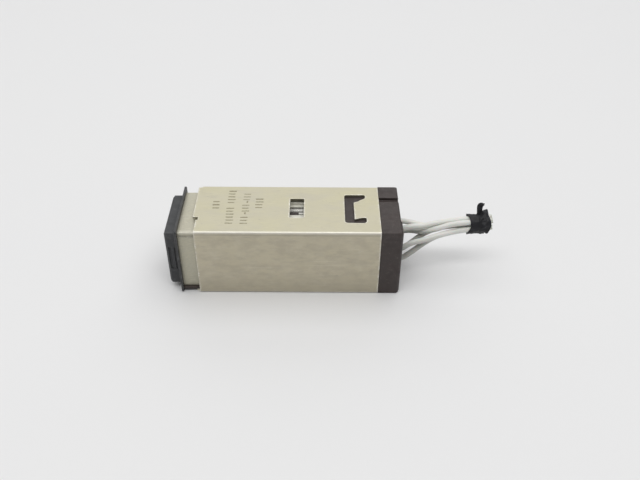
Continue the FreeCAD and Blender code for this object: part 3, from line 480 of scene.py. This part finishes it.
def softened(node, width, slot, body, name=None, keep=None):
    """A copy of a CAD node with its flat faces made whole and its sharp edges rounded.

    keep is a pair of stations along X: only what lies between them is copied.
    """
    bm = bmesh.new()
    bm.from_mesh(NODES[node].data)
    bmesh.ops.remove_doubles(bm, verts=bm.verts, dist=MERGE)
    bmesh.ops.dissolve_limit(bm, angle_limit=math.radians(0.6), verts=bm.verts, edges=bm.edges)
    if keep:
        for station, side in zip(keep, (-1, 1)):
            geometry_in = bm.verts[:] + bm.edges[:] + bm.faces[:]
            cut = bmesh.ops.bisect_plane(bm, geom=geometry_in, plane_co=mm(station, 0, 0),
                                         plane_no=(side, 0, 0), clear_outer=True)
            rim = [item for item in cut["geom_cut"] if isinstance(item, bmesh.types.BMEdge)]
            if rim:
                bmesh.ops.contextual_create(bm, geom=rim)
    round_edges(bm, width)
    piece = link(name or node + "_looks", mesh_from(bm, node), slot, body, [node])
    even_shading(piece)
    return piece


def tube_from_rings(bm, rings, closed_ends=True, joined=False):
    """Skin a list of rings of points, each a list of the same length."""
    rows = [[bm.verts.new(point) for point in ring] for ring in rings]
    pairs = list(zip(rows, rows[1:]))
    if joined:
        pairs.append((rows[-1], rows[0]))
    for first, second in pairs:
        count = len(first)
        for index in range(count):
            following = (index + 1) % count
            bm.faces.new((first[index], first[following], second[following], second[index]))
    if closed_ends and not joined:
        bm.faces.new(rows[0][::-1])
        bm.faces.new(rows[-1])


def turned_ring(station, centre, segments, radius_at):
    """A ring of points across X about centre = (Y, Z), its radius given for each share of a turn."""
    ring = []
    for step in range(segments):
        turn = math.tau * step / segments
        radius = radius_at(step / segments)
        ring.append(mm(station, centre[0] + radius * math.cos(turn),
                       centre[1] + radius * math.sin(turn)))
    return ring


def lathe(bm, profile, centre, segments, ends=True):
    """Turn (station, radius) pairs about an axis along X through centre = (Y, Z)."""
    rings = [turned_ring(station, centre, segments, lambda share: radius)
             for station, radius in profile]
    tube_from_rings(bm, rings, closed_ends=ends)


def wire_ring(middle, side, other, radius, corners):
    """A small polygon of points round the middle of a wire."""
    turns = [math.tau * k / corners for k in range(corners)]
    return [middle + (side * math.cos(a) + other * math.sin(a)) * radius * MM for a in turns]


def fine_line(points, data):
    """The centre line of a curve with no bevel, as points in order."""
    thin = data.copy()
    thin.bevel_depth = 0.0
    holder = bpy.data.objects.new("line", thin)
    line = bpy.data.meshes.new_from_object(holder)
    found = [vertex.co.copy() for vertex in line.vertices]
    bpy.data.objects.remove(holder)
    bpy.data.meshes.remove(line)
    return found


# -------- leads

LEAD_RADIUS = 0.65
# the stations of a lead's route, and each lead's (Y, Z) at them
ROUTE = (41.6, 46.2, 50.9, 53.2, 55.8, 58.8, 62.4, 66.6, 71.4)
ROUTE_A = (41.6, 46.2, 50.9, 53.8, 56.8, 59.8, 63.0, 66.6, 71.4)
LEAD_ROUTES = {
    "lead_a": ((3.2, 3.2), (3.3, 3.2), (3.22, 3.24), (2.75, 3.1), (2.0, 2.6), (1.85, 3.6),
               (1.7, 4.4), (1.35, 4.72), (1.37, 5.3)),
    "lead_b": ((0.0, 3.2), (0.1, 3.2), (0.03, 3.24), (-0.05, 4.11), (0.04, 4.08), (0.36, 4.79),
               (0.47, 5.38), (0.5, 6.05), (0.52, 6.63)),
    "lead_c": ((3.2, 0.0), (3.3, 0.0), (3.21, 0.01), (2.6, 0.95), (0.22, 2.24), (-0.89, 3.93),
               (-0.96, 5.5), (-0.86, 5.93), (-0.84, 6.51)),
    "lead_d": ((-3.2, 0.0), (-3.1, 0.0), (-3.17, 0.03), (-2.77, 1.39), (-2.52, 1.84),
               (-2.09, 2.81), (-1.54, 3.64), (-1.34, 4.39), (-1.32, 4.97)),
    "lead_e": ((0.0, -3.2), (0.1, -3.2), (0.0, -3.2), (0.42, -1.58), (1.02, 0.66), (0.61, 2.98),
               (0.42, 3.97), (-0.02, 4.77), (0.0, 5.35)),
    "lead_f": ((-3.2, -3.2), (-3.1, -3.2), (-3.22, -3.22), (-2.73, -1.67), (-1.8, 0.16),
               (-1.04, 1.92), (-0.43, 2.73), (0.1, 3.36), (0.12, 3.94)),
}
LEAD_POINTS = {name: [(x, y, z) for x, (y, z) in zip(ROUTE_A if name == "lead_a" else ROUTE, route)]
               for name, route in LEAD_ROUTES.items()}


def make_lead(name, points):
    """A lead on a smooth curve through the route's points, and its centre line."""
    data = bpy.data.curves.new(name, "CURVE")
    data.dimensions = "3D"
    data.bevel_depth = LEAD_RADIUS * MM
    data.bevel_resolution = 6
    data.resolution_u = 16
    data.use_fill_caps = True
    spline = data.splines.new("NURBS")
    spline.points.add(len(points) - 1)
    for held, point in zip(spline.points, points):
        held.co = (*mm(*point), 1.0)
    spline.order_u = 3
    spline.use_endpoint_u = True
    spline.use_smooth = True
    return link(name + "_looks", data, "lead_jacket", "sleeve", [name]), fine_line(points, data)


leads, lead_lines = {}, {}
for lead_name, lead_points in LEAD_POINTS.items():
    leads[lead_name], lead_lines[lead_name] = make_lead(lead_name, lead_points)


STRANDS = 19
STRAND_PITCH = 0.185
STRAND_RADIUS = 0.085
STRAND_ROOT = 0.3


def make_strands():
    """The cut end of each lead: nineteen tinned wires that have begun to fray."""
    draw = random.Random(41)
    bm = bmesh.new()
    for line in lead_lines.values():
        end = line[-1]
        along = (line[-1] - line[-3]).normalized()
        side = along.cross(Vector((0, 0, 1))).normalized()
        up = side.cross(along)
        for number in range(STRANDS):
            ring = 0 if number == 0 else (1 if number < 7 else 2)
            turn = math.tau * (number * (1 / 6 if ring == 1 else 1 / 12)) + draw.uniform(-0.2, 0.2)
            outwards = side * math.cos(turn) + up * math.sin(turn)
            start = end + outwards * ring * STRAND_PITCH * MM - along * STRAND_ROOT * MM
            reach = draw.uniform(0.05, 0.38)
            lean = outwards * draw.uniform(0.05, 0.55) * (0.4 + ring * 0.5)
            lean = lean + side * draw.uniform(-0.25, 0.25)
            lean += up * draw.uniform(-0.3, 0.2)
            rings = []
            for step in range(6):
                share = step / 5
                middle = start + along * (STRAND_ROOT + reach) * share * MM + lean * share ** 2 * reach * MM
                radius = STRAND_RADIUS * (1.0 if step < 5 else 0.75)
                rings.append(wire_ring(middle, side, up, radius, 6))
            tube_from_rings(bm, rings)
    return shaped("lead_strands_looks", bm, 70, "tinned_copper", "sleeve", ["lead_strands"])


strands = make_strands()


# -------- tape round the leads

TAPE_START = (60.0, 4.0)
TAPE_SLOPE = 0.12
FACING = math.radians(141.2)
WRAP_FRONT, WRAP_REAR = 66.6, 69.9
KNOT_FRONT, KNOT_REAR = 68.2, 70.9
TAPE_BORE, TAPE_THINNEST = 2.05, 0.08
TAPE_SEGMENTS = 72


def tape_middle(station):
    """The tie's middle line, which rises towards the rear."""
    return Vector((station, 0.0, TAPE_START[1] + TAPE_SLOPE * (station - TAPE_START[0]))) * MM


def tape_rings(front_at, rear, count, radius_at):
    """Rings round the tie's line, from a front edge that changes with the turn to the rear."""
    rings = []
    for step in range(count + 1):
        share = step / count
        ring = []
        for index in range(TAPE_SEGMENTS):
            turn = math.tau * index / TAPE_SEGMENTS
            begin = front_at(turn)
            station = begin + (rear - begin) * share
            radius = radius_at(station, turn, share)
            middle = tape_middle(station)
            ring.append(middle + Vector((0, math.cos(turn), math.sin(turn))) * radius * MM)
        rings.append(ring)
    return rings


def crinkle(station, turn, size, seed):
    """Noise over the tape's surface, with features of that size."""
    at = Vector((station / size, math.cos(turn) * 2.2 / size, math.sin(turn) * 2.2 / size + seed))
    return noise.noise(at)


def shell_of_rings(bm, rings):
    """A closed sleeve: the given outside, folded over both rims to a plain inside."""
    inside = []
    for ring in rings:
        middle = sum(ring, Vector()) / len(ring)
        centre = tape_middle(middle.x / MM)
        inner = []
        for point in ring:
            out = point - centre
            along = Vector((out.x, 0, 0))
            flat = Vector((0, out.y, out.z))
            reach = min(TAPE_BORE * MM, flat.length - TAPE_THINNEST * MM)
            inner.append(centre + along + flat.normalized() * reach)
        inside.append(inner)
    loop = rings + inside[::-1]
    tube_from_rings(bm, loop, joined=True)


def make_wrap():
    """Two turns of flat tape drawn tight: flared corners, a hollow front edge, lengthwise creases."""
    def cornered(turn):
        return abs(math.cos(turn - (FACING - math.pi / 2)))

    def front_at(turn):
        return WRAP_FRONT - 0.62 * cornered(turn) ** 2.5 + 0.06 * math.sin(5 * turn)

    def radius_at(station, turn, share):
        flare = 0.20 * cornered(turn) ** 10 * max(0.0, 1 - share * 2.2) ** 1.5
        crease = 0.09 * math.sin(11 * turn + 2.2 * share) * (0.4 + 0.6 * share)
        lap = 0.10 * (1 if (turn - 0.9 * share * math.pi) % (2 * math.pi) < 3.3 else 0)
        swell = 0.22 * share ** 2
        return 2.16 + flare + crease * 0.6 + lap + swell + 0.10 * crinkle(station, turn, 0.9, 3.0)

    bm = bmesh.new()
    shell_of_rings(bm, tape_rings(front_at, WRAP_REAR, 26, radius_at))
    return shaped("tape_wrap_looks", bm, 60, "black_tape", "sleeve", ["tape_wrap"])


def make_knot():
    """The tape's last turns, drawn into a lumpy knot that bulges at the top."""
    def radius_at(station, turn, share):
        dome = math.sin(math.pi * (0.12 + 0.66 * share)) ** 0.45
        top = math.exp(-((turn - 0.95) / 0.60) ** 2) * min(1.0, 0.1 + share * 1.3)
        corner = math.exp(-((turn - 3.75) / 0.22) ** 2) * max(0.0, share * 3 - 2)
        folds = 0.11 * math.sin(6 * turn + 7 * share) + 0.11 * math.sin(4 * turn - 10 * share + 1.0)
        return (2.02 + 0.40 * dome + 0.70 * top * dome + 0.42 * corner + folds * dome
                + 0.26 * crinkle(station, turn, 0.8, 9.0) * dome)

    def front_at(turn):
        return KNOT_FRONT + 0.22 * math.sin(3 * turn + 0.7) + 0.12 * math.sin(7 * turn)

    bm = bmesh.new()
    shell_of_rings(bm, tape_rings(front_at, KNOT_REAR, 30, radius_at))
    # the rear rim is drawn out of true
    straight_to, height = 70.1, 5.4
    for vertex in bm.verts:
        if vertex.co.x > straight_to * MM:
            turn = math.atan2(vertex.co.z - height * MM, vertex.co.y)
            vertex.co.x += 0.35 * MM * math.sin(2 * turn + 2.4) * (vertex.co.x / MM - straight_to)
    return shaped("tape_knot_looks", bm, 60, "black_tape", "sleeve", ["tape_knot"])


def ribbon(bm, stations, width, thickness):
    """A flat tape through (point, across-direction, width share) stations, with soft wrinkles."""
    rings = []
    for number, (point, across, share) in enumerate(stations):
        before = stations[max(0, number - 1)][0]
        after = stations[min(len(stations) - 1, number + 1)][0]
        along = (Vector(after) - Vector(before)).normalized()
        across = Vector(across).normalized()
        out = along.cross(across).normalized()
        ring = []
        half = width * share / 2
        for side, face in ([(s, 1) for s in (-1, -0.6, -0.2, 0.2, 0.6, 1)]
                           + [(s, -1) for s in (1, 0.6, 0.2, -0.2, -0.6, -1)]):
            curl = 0.16 * side * side + 0.10 * math.sin(3.1 * side + number * 0.9)
            ring.append((Vector(point) + across * side * half + out * (curl + face * thickness / 2)) * MM)
        rings.append(ring)
    tube_from_rings(bm, rings)


def make_tail():
    """The tape's loose end: it leaves the knot upwards, twists and bends over at its tip."""
    stations = [
        ((69.0, 0.5, 6.4), (0.8, 0.7, 0.0), 1.15),
        ((68.85, 0.75, 7.3), (0.8, 0.7, 0.0), 1.1),
        ((68.8, 0.95, 8.1), (0.9, 0.6, 0.0), 1.0),
        ((68.8, 1.1, 8.6), (1.0, 0.5, -0.1), 1.0),
        ((68.85, 1.2, 9.05), (1.0, 0.5, -0.3), 1.1),
        ((69.05, 1.2, 9.4), (1.0, 0.5, -0.5), 1.2),
        ((69.3, 1.15, 9.62), (0.9, 0.6, -0.7), 1.1),
        ((69.55, 1.05, 9.6), (0.6, 0.8, -0.8), 0.75),
    ]
    bm = bmesh.new()
    ribbon(bm, stations, 1.4, 0.6)
    piece = shaped("tape_tail_looks", bm, 60, "black_tape", "sleeve", ["tape_tail"])
    modifier = piece.modifiers.new("smooth", "SUBSURF")
    modifier.levels = modifier.render_levels = 2
    return piece


wrap, knot, tail = make_wrap(), make_knot(), make_tail()


# -------- the folded sleeve

FRONT, REAR = 3.8, 45.5
FLAT = 2 * (HALF - ROUND)
ARC = ROUND * math.pi / 2
SIDE = FLAT + ARC
AROUND = 4 * SIDE
BEND_STEPS = 6
SEAM = -SIDE * 0.5 - 0.35 * FLAT - 0.1


def on_sleeve(along, around, depth):
    """A point of the developed sheet, folded round the square section. around = 0 is top centre."""
    face, rest = divmod(around + FLAT / 2, SIDE)
    if rest <= FLAT:
        across, out = rest - FLAT / 2, HALF - depth
    else:
        turn = (rest - FLAT) / ROUND
        across = FLAT / 2 + (ROUND - depth) * math.sin(turn)
        out = FLAT / 2 + (ROUND - depth) * math.cos(turn)
    quarter = int(face) % 4
    across, out = ((across, out), (out, -across), (-across, -out), (-out, across))[quarter]
    return Vector((along, across, out))


def rounded_loop(corners, radius, steps=5):
    """A polygon's corners as a closed loop of points, with each rounded."""
    loop = []
    count = len(corners)
    for index, corner in enumerate(corners):
        corner = Vector(corner)
        before = (Vector(corners[index - 1]) - corner)
        after = (Vector(corners[(index + 1) % count]) - corner)
        amount = radius[index] if isinstance(radius, (list, tuple)) else radius
        reach = min(amount, before.length * 0.45, after.length * 0.45)
        if reach < 0.01:
            loop.append(corner)
            continue
        start, end = corner + before.normalized() * reach, corner + after.normalized() * reach
        for step in range(steps + 1):
            share = step / steps
            loop.append(start * (1 - share) ** 2 + corner * 2 * share * (1 - share) + end * share ** 2)
    return [tuple(point) for point in loop]


# outlines in the flat sheet, as (along, around) with the tongue's slot as a C
TONGUE = [(37.5, -5.2), (42.35, -5.3), (42.35, -3.25), (41.2, -3.35), (39.65, -3.95), (39.6, 2.4),
          (40.05, 2.7), (40.6, 2.9), (41.2, 3.5), (42.3, 4.1), (42.35, 5.5), (37.5, 5.45)]
TONGUE_ROUNDS = [0.8, 0.95, 0.9, 0.4, 0.1, 0.1, 0.1, 0.1, 0.15, 0.5, 0.6, 0.6]
WINDOW = [(24.9, -3.35), (28.1, -3.35), (28.1, 3.85), (24.9, 3.85)]
OPPOSITE = 2 * SIDE
TONGUE_TIP, TONGUE_ROOT, TONGUE_LIFT = 39.55, 42.3, 0.06
TONGUE_LONG, TONGUE_SIDES = 2.7, (-4.0, 4.15)
BURR_HEIGHT, BURR_PLACE, BURR_SPREAD = 0.42, (40.5, 5.45), (0.55, 0.22)


def sheet_wave(along, around):
    """The sheet's slight unevenness."""
    return 0.018 * noise.noise(Vector((along / 9, around / 6, 0.3)))


def front_edge():
    """The sleeve's front edge all round: a tab and its relief on the top, and again at the bottom."""
    top = [(FRONT, -4.4), (4.25, -4.4), (4.25, -3.4), (3.0, -3.4), (3.0, 8.3), (FRONT, 8.3)]
    rounds = [0.12, 0.14, 0.14, 0.22, 0.22, 0.1]
    loop = []
    for shift in (0.0, OPPOSITE):
        loop.append((FRONT, shift - 6.5, 0.0))
        loop += [(x, shift + u, r) for (x, u), r in zip(top, rounds)]
    return loop


def inside_loop(point, loop):
    """Whether a point of the flat sheet lies inside a closed loop."""
    odd = False
    for (x1, y1), (x2, y2) in zip(loop, loop[1:] + loop[:1]):
        if (y1 > point[1]) != (y2 > point[1]):
            if point[0] < (x2 - x1) * (point[1] - y1) / (y2 - y1) + x1:
                odd = not odd
    return odd


def make_sleeve():
    """The sheet is cut out flat, with its openings, then folded and given its thickness."""
    points, edges = [], []

    def add_loop(loop, closed=True):
        first = len(points)
        points.extend(Vector((p[0], p[1])) for p in loop)
        count = len(loop)
        edges.extend((first + i, first + (i + 1) % count) for i in range(count if closed else count - 1))

    corners = front_edge()
    outline = [(FRONT, SEAM)] + [(x, u) for x, u, r in corners] + [(FRONT, SEAM + AROUND)]
    rounds = [0.0] + [r for x, u, r in corners] + [0.0]
    outline += [(REAR, SEAM + AROUND), (REAR, SEAM)]
    rounds += [0.0, 0.0]
    outline = rounded_loop(outline, rounds, 3)
    openings = [rounded_loop(WINDOW, 0.16, 3), rounded_loop(TONGUE, TONGUE_ROUNDS, 5)]
    for loop in (outline, *openings):
        add_loop(loop)
    for face in range(-1, 5):
        for step in range(BEND_STEPS + 1):
            around = FLAT / 2 + face * SIDE + ARC * step / BEND_STEPS
            if SEAM < around < SEAM + AROUND:
                add_loop([(FRONT, around), (REAR, around)], closed=False)
    grid = random.Random(7)
    steps_along, steps_around = 28, 48
    for i in range(1, steps_along):
        for j in range(1, steps_around):
            x = FRONT + (REAR - FRONT) * i / steps_along
            u = SEAM + AROUND * j / steps_around
            spot = (x, u + grid.uniform(-0.05, 0.05))
            bend = (u + FLAT / 2) % SIDE > FLAT - 0.3 or (u + FLAT / 2) % SIDE < 0.3
            if not bend and not any(inside_loop(spot, loop) for loop in openings):
                points.append(Vector(spot))
    made = geometry.delaunay_2d_cdt(points, edges, [], 0, 1e-5)
    flat_points, triangles = made[0], made[2]

    def is_sheet(corner_numbers):
        middle = sum((flat_points[i] for i in corner_numbers), Vector((0, 0))) / len(corner_numbers)
        return inside_loop(middle, outline) and not any(inside_loop(middle, loop) for loop in openings)

    bm = bmesh.new()
    outer, inner = {}, {}
    for number, (along, around) in enumerate(flat_points):
        lift = 0.0
        if TONGUE_TIP < along < TONGUE_ROOT and TONGUE_SIDES[0] < around < TONGUE_SIDES[1]:
            lift = TONGUE_LIFT * ((TONGUE_ROOT - along) / TONGUE_LONG) ** 2
        burr = BURR_HEIGHT * math.exp(-((along - BURR_PLACE[0]) / BURR_SPREAD[0]) ** 2
                                      - ((around - BURR_PLACE[1]) / BURR_SPREAD[1]) ** 2)
        wave = sheet_wave(along, around)
        for side, depth in ((outer, 0.0), (inner, WALL)):
            side[number] = bm.verts.new(on_sleeve(along, around, depth - lift - burr - wave) * MM)
    used = [face for face in triangles if is_sheet(face)]
    sides = {}
    for face in used:
        bm.faces.new([outer[i] for i in face])
        bm.faces.new([inner[i] for i in reversed(face)])
        for first, second in zip(face, face[1:] + face[:1]):
            key = (min(first, second), max(first, second))
            sides.setdefault(key, []).append((first, second))
    seam = {key for key in sides if all(abs(flat_points[i][1] - SEAM) < 1e-4 for i in key)
            or all(abs(flat_points[i][1] - SEAM - AROUND) < 1e-4 for i in key)}
    for key, uses in sides.items():
        if len(uses) == 1 and key not in seam:
            first, second = uses[0]
            bm.faces.new((outer[second], outer[first], inner[first], inner[second]))
    loose = [v for v in bm.verts if not v.link_faces]
    bmesh.ops.delete(bm, geom=loose, context="VERTS")
    bmesh.ops.remove_doubles(bm, verts=bm.verts, dist=MERGE)
    bmesh.ops.recalc_face_normals(bm, faces=bm.faces)
    round_edges(bm, 0.07, 2, 60.0)
    even_shading(shaped("mounting_sleeve_looks", bm, 50, "sleeve_metal", "sleeve",
                        ["mounting_sleeve"]))


make_sleeve()


# -------- softened copies of CAD nodes

# by body, each node's width of rounded edges and its finish
SOFT = {
    "sleeve": {
        "socket_block": (0.16, "brown_plastic"), "socket_contacts": (0.04, "contact_gold"),
        "cavity_plugs": (0.10, "white_plastic"), "clamp_nut_top": (0.10, "plated_steel"),
        "clamp_nut_bottom": (0.10, "plated_steel"),
    },
    "screw_top": {"screw_clip_top": (0.05, "spring_steel")},
    "screw_bottom": {"screw_clip_bottom": (0.05, "spring_steel")},
    "housing": {
        "bezel_flange": (0.09, "black_metal"), "upper_shell": (0.07, "shell_metal"),
        "lower_shell": (0.07, "shell_metal"), "bottom_rail": (0.15, "brown_plastic"),
        "guide_pads": (0.15, "white_plastic"), "travel_stop": (0.10, "brown_plastic"),
        "stop_strip": (0.08, "white_plastic"), "bulkhead": (0.10, "header_plastic"),
        "button_contacts": (0.04, "contact_gold"), "yoke": (0.10, "soft_iron"),
        "coil_core": (0.06, "soft_iron"), "coil_bobbin": (0.08, "bobbin_plastic"),
        "armature_pin": (0.03, "plated_steel"), "card_guide": (0.06, "bobbin_plastic"),
        "contact_base": (0.10, "header_plastic"), "contact_closed": (0.04, "contact_gold"),
        "contact_open": (0.04, "contact_gold"), "header": (0.08, "header_plastic"),
        "header_pins": (0.03, "contact_gold"), "shell_rivets": (0.05, "plated_steel"),
    },
    "armature": {"armature": (0.08, "soft_iron")},
    "card": {"pusher_card": (0.06, "bobbin_plastic")},
    "contact_arm": {"contact_arm": (0.03, "contact_gold")},
    "cap": {"cap_shell": (0.055, "black_plastic"), "light_divider": (0.04, "white_plastic"),
            "lamp_block": (0.08, "header_plastic")},
    "carriage": {
        "carriage_plate": (0.10, "black_plastic"), "detent_springs": (0.04, "spring_steel"),
        "lamp_contacts": (0.02, "contact_gold"), "plunger": (0.06, "white_plastic"),
        "bridge_contact": (0.04, "contact_gold"),
    },
}
for body_name, nodes in SOFT.items():
    for node_name, (edge_width, slot_name) in nodes.items():
        softened(node_name, edge_width, slot_name, body_name)

# the return spring shortens between the carriage and the bulkhead
spring = softened("return_spring", 0.0, "spring_steel", None)
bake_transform(spring)


# -------- screws, coil, lamps, lens

PITCH = 0.35
SCREW_TOP = (2.4, 6.35)
SCREW_HEAD = (8.3, 9.7)


def make_screw(which, centre):
    """The slotted head from the CAD, and a shank with its real 0.35 mm thread."""
    node = "clamp_screw_" + which
    softened(node, 0.06, "plated_steel", "screw_" + which, name=node + "_head", keep=SCREW_HEAD)
    bm = bmesh.new()
    segments, per_turn = 20, 6
    front, rear, crest, root = 9.65, 32.2, 0.8, 0.62
    count = int((rear - front) / PITCH * per_turn)
    rings = []
    for step in range(count + 1):
        station = front + (rear - front) * step / count
        end = min(1.0, (rear - station) / 0.4, (station - front) / 0.3)

        def radius_at(share):
            phase = (station / PITCH - share) % 1.0
            return root + (crest - root) * end * (1 - abs(2 * phase - 1)) ** 0.8

        rings.append(turned_ring(station, centre, segments, radius_at))
    tube_from_rings(bm, rings)
    shaped(node + "_thread", bm, 70, "plated_steel", "screw_" + which, [node])


make_screw("top", SCREW_TOP)
make_screw("bottom", (-SCREW_TOP[0], -SCREW_TOP[1]))


def make_winding():
    """The coil's outer layer of turns, with a band of tape over its middle."""
    axis, segments = (0.0, -0.4), 48
    front, middle, rear, bore, taped = 17.62, 21.7, 25.78, 1.72, 2.2
    bm = bmesh.new()
    profile = [(front, bore)]
    station = 17.66
    while station < 25.72:
        wound = 3.13 if abs(station - middle) > taped else 3.08
        profile += [(station, wound - 0.05), (station + 0.06, wound), (station + 0.12, wound - 0.05)]
        station += 0.13
    profile.append((rear, bore))
    lathe(bm, profile, axis, segments)
    shaped("coil_winding_looks", bm, 80, "copper_wire", "housing", ["coil_winding"])
    bm = bmesh.new()
    lathe(bm, [(19.6, 3.09), (19.62, 3.15), (23.78, 3.15), (23.8, 3.09)], axis, segments, ends=False)
    shaped("coil_tape", bm, 60, "bobbin_plastic", "housing")


make_winding()


def make_lamps():
    """Four flanged lamps: a brass base, a glass envelope with a domed front, and a filament."""
    base, glass, wire = bmesh.new(), bmesh.new(), bmesh.new()
    segments, off_axis = 28, 3.0
    for across in (-off_axis, off_axis):
        for up in (-off_axis, off_axis):
            lathe(base, [(1.5, 1.50), (1.55, 1.56), (3.3, 1.56), (3.4, 1.50), (3.6, 1.44), (3.9, 1.40),
                         (4.0, 0.75), (4.15, 0.70), (4.2, 0.45)], (across, up), segments)
            outer = [(1.52, 1.46), (0.2, 1.46), (-0.5, 1.40), (-1.05, 1.16), (-1.4, 0.75), (-1.56, 0.35),
                     (-1.6, 0.04)]
            inner = [(x + 0.14, max(0.03, r - 0.13)) for x, r in reversed(outer[1:])] + [(1.52, 1.33)]
            lathe(glass, outer + inner, (across, up), segments, ends=False)
            posts = [[(1.5, s * 0.45, 0.0), (0.1, s * 0.45, 0.0), (-0.25, s * 0.38, 0.0)] for s in (-1, 1)]
            coil = [(-0.25 - 0.05 * math.cos(k * 1.6), -0.38 + 0.76 * k / 40, 0.05 * math.sin(k * 1.6))
                    for k in range(41)]
            for path in posts + [coil]:
                rings = []
                for number, (x, y, z) in enumerate(path):
                    before, after = path[max(0, number - 1)], path[min(len(path) - 1, number + 1)]
                    along = (Vector(after) - Vector(before)).normalized()
                    side = along.orthogonal().normalized()
                    other = along.cross(side)
                    radius = 0.035 if path is not coil else 0.016
                    rings.append(wire_ring(mm(x, across + y, up + z), side, other, radius, 4))
                tube_from_rings(wire, rings)
    shaped("lamps_base", base, 40, "contact_gold", "cap", ["lamps"])
    shaped("lamps_glass", glass, 50, "lamp_glass", "cap", ["lamps"])
    shaped("lamps_wire", wire, 70, "spring_steel", "cap", ["lamps"])


make_lamps()


def make_lens():
    """The cap's lens: a low crown with a stepped frame and a cross-shaped split for its four fields."""
    half, front, rear = 5.86, -3.0, -2.1
    steps = 36

    def height(y, z):
        edge = max(abs(y), abs(z))
        crown = 0.10 * (1 - (y / half) ** 2) * (1 - (z / half) ** 2)
        field = 0.08 if edge < half - 0.55 else 0.0
        groove = 0.12 if min(abs(y), abs(z)) < 0.14 and edge < half - 0.9 else 0.0
        return front + 0.18 - crown - field + groove

    marks = sorted({round(s * v, 3) for s in (-1, 1) for v in
                    [0.10, 0.16, half, half - 0.06, half - 0.5, half - 0.6, half - 0.86, half - 0.94]}
                   | {round(-half + 2 * half * k / steps, 3) for k in range(steps + 1)})
    bm = bmesh.new()
    grid = [[bm.verts.new(mm(height(y, z), y, z)) for z in marks] for y in marks]
    back = [[bm.verts.new(mm(rear, y, z)) for z in marks] for y in marks]
    last = len(marks) - 1
    for i in range(last):
        for j in range(last):
            bm.faces.new((grid[i][j], grid[i][j + 1], grid[i + 1][j + 1], grid[i + 1][j]))
            bm.faces.new((back[i][j], back[i + 1][j], back[i + 1][j + 1], back[i][j + 1]))
    rim = [(i, 0) for i in range(last)] + [(last, j) for j in range(last)] \
        + [(i, last) for i in range(last, 0, -1)] + [(0, j) for j in range(last, 0, -1)]
    for (a, b), (c, d) in zip(rim, rim[1:] + rim[:1]):
        bm.faces.new((grid[a][b], back[a][b], back[c][d], grid[c][d]))
    shaped("cap_lens_looks", bm, 30, "smoked_lens", "cap", ["cap_lens"])


make_lens()


# -------- ink dashes and marks on the sleeve

INK_ROWS = (
    (7.1, 1.75, [(-0.2, 0.55), (1.0, 0.6), (2.2, 0.6)]),
    (10.4, 1.85, [(-5.9 + 1.12 * k, 0.55) for k in range(6)] + [(1.95 + 1.12 * k, 0.55) for k in range(5)]),
    (13.9, 1.75, [(-5.9 + 1.1 * k, 0.5) for k in range(3)] + [(-1.3 + 1.1 * k, 0.5) for k in range(3)]
     + [(3.1 + 1.1 * k, 0.5) for k in range(3)]),
    (16.9, 1.8, [(0.0 + 1.1 * k, 0.55) for k in range(4)]),
)
SHORT_DASHES = ((14.55, -2.25, 0.4, 0.75), (14.75, 2.1, 0.4, 0.75))


def make_ink():
    """Plain stamped dashes in rows across the sleeve's top, which say nothing."""
    draw = random.Random(12)
    bm = bmesh.new()

    def dash(x, y, length, width):
        columns, rows = 7, 3
        made = {}
        for i in range(columns + 1):
            for j in range(rows + 1):
                edge = i in (0, columns) or j in (0, rows)
                shake = 0.045 if edge else 0.0
                px = x + length * i / columns + draw.uniform(-shake, shake)
                py = y + width * j / rows + draw.uniform(-shake, shake)
                lift = HALF + 0.004 + sheet_wave(px, py) + (0.0 if edge else 0.006)
                made[i, j] = bm.verts.new(mm(px, py, lift))
        for i in range(columns):
            for j in range(rows):
                if draw.random() > 0.06 or 0 < i < columns - 1:
                    bm.faces.new((made[i, j], made[i + 1, j], made[i + 1, j + 1], made[i, j + 1]))

    for x, length, marks in INK_ROWS:
        slant = draw.uniform(-0.02, 0.02)
        for y, width in marks:
            narrow = width * draw.uniform(0.55, 0.9)
            dash(x + slant * y + draw.uniform(-0.06, 0.06), y + (width - narrow) / 2,
                 length * draw.uniform(0.86, 1.0), narrow)
    for x, y, length, width in SHORT_DASHES:
        dash(x, y, length, width)
    shaped("ink_dashes", bm, 80, "sleeve_metal", "sleeve", material=INK)


make_ink()


# -------- floor and light


def make_stage():
    """A wide sheet of white paper, just under the object."""
    bpy.ops.mesh.primitive_plane_add(size=6.0, location=(0, 0, FLOOR * MM))
    floor = bpy.context.object
    floor.name = "floor"
    look = Look("floor_paper", (0.80, 0.80, 0.80), 0.75)
    look.patches((0.79, 0.79, 0.80), 40.0, 0.3, 0.7, 0.3, detail=3.0)
    look.relief(look.grain(0.5, detail=3.0), 0.01)
    floor.data.materials.append(look.done())


def make_light(name, place, size, power, target=(22, 0, 0)):
    """A rectangular light that faces the object's middle."""
    data = bpy.data.lights.new(name, "AREA")
    data.shape = "RECTANGLE"
    data.size, data.size_y = [value * MM for value in size]
    data.energy = power
    light = bpy.data.objects.new(name, data)
    light.location = mm(*place)
    light.rotation_euler = (mm(*target) - light.location).to_track_quat("-Z", "Y").to_euler()
    bpy.context.scene.collection.objects.link(light)


def make_world(strength):
    world = bpy.data.worlds.new("studio")
    world.use_nodes = True
    background = world.node_tree.nodes["Background"]
    background.inputs["Color"].default_value = (1.0, 1.0, 1.0, 1.0)
    background.inputs["Strength"].default_value = strength
    bpy.context.scene.world = world


make_stage()
make_world(0.26)
make_light("light_ceiling", (20, 60, 900), (1500, 1100), 6.5)
make_light("light_front", (20, -260, 640), (700, 130), 1.15)
make_light("light_back", (20, 900, 500), (1600, 700), 2.9)
bpy.context.scene.view_settings.view_transform = "Standard"
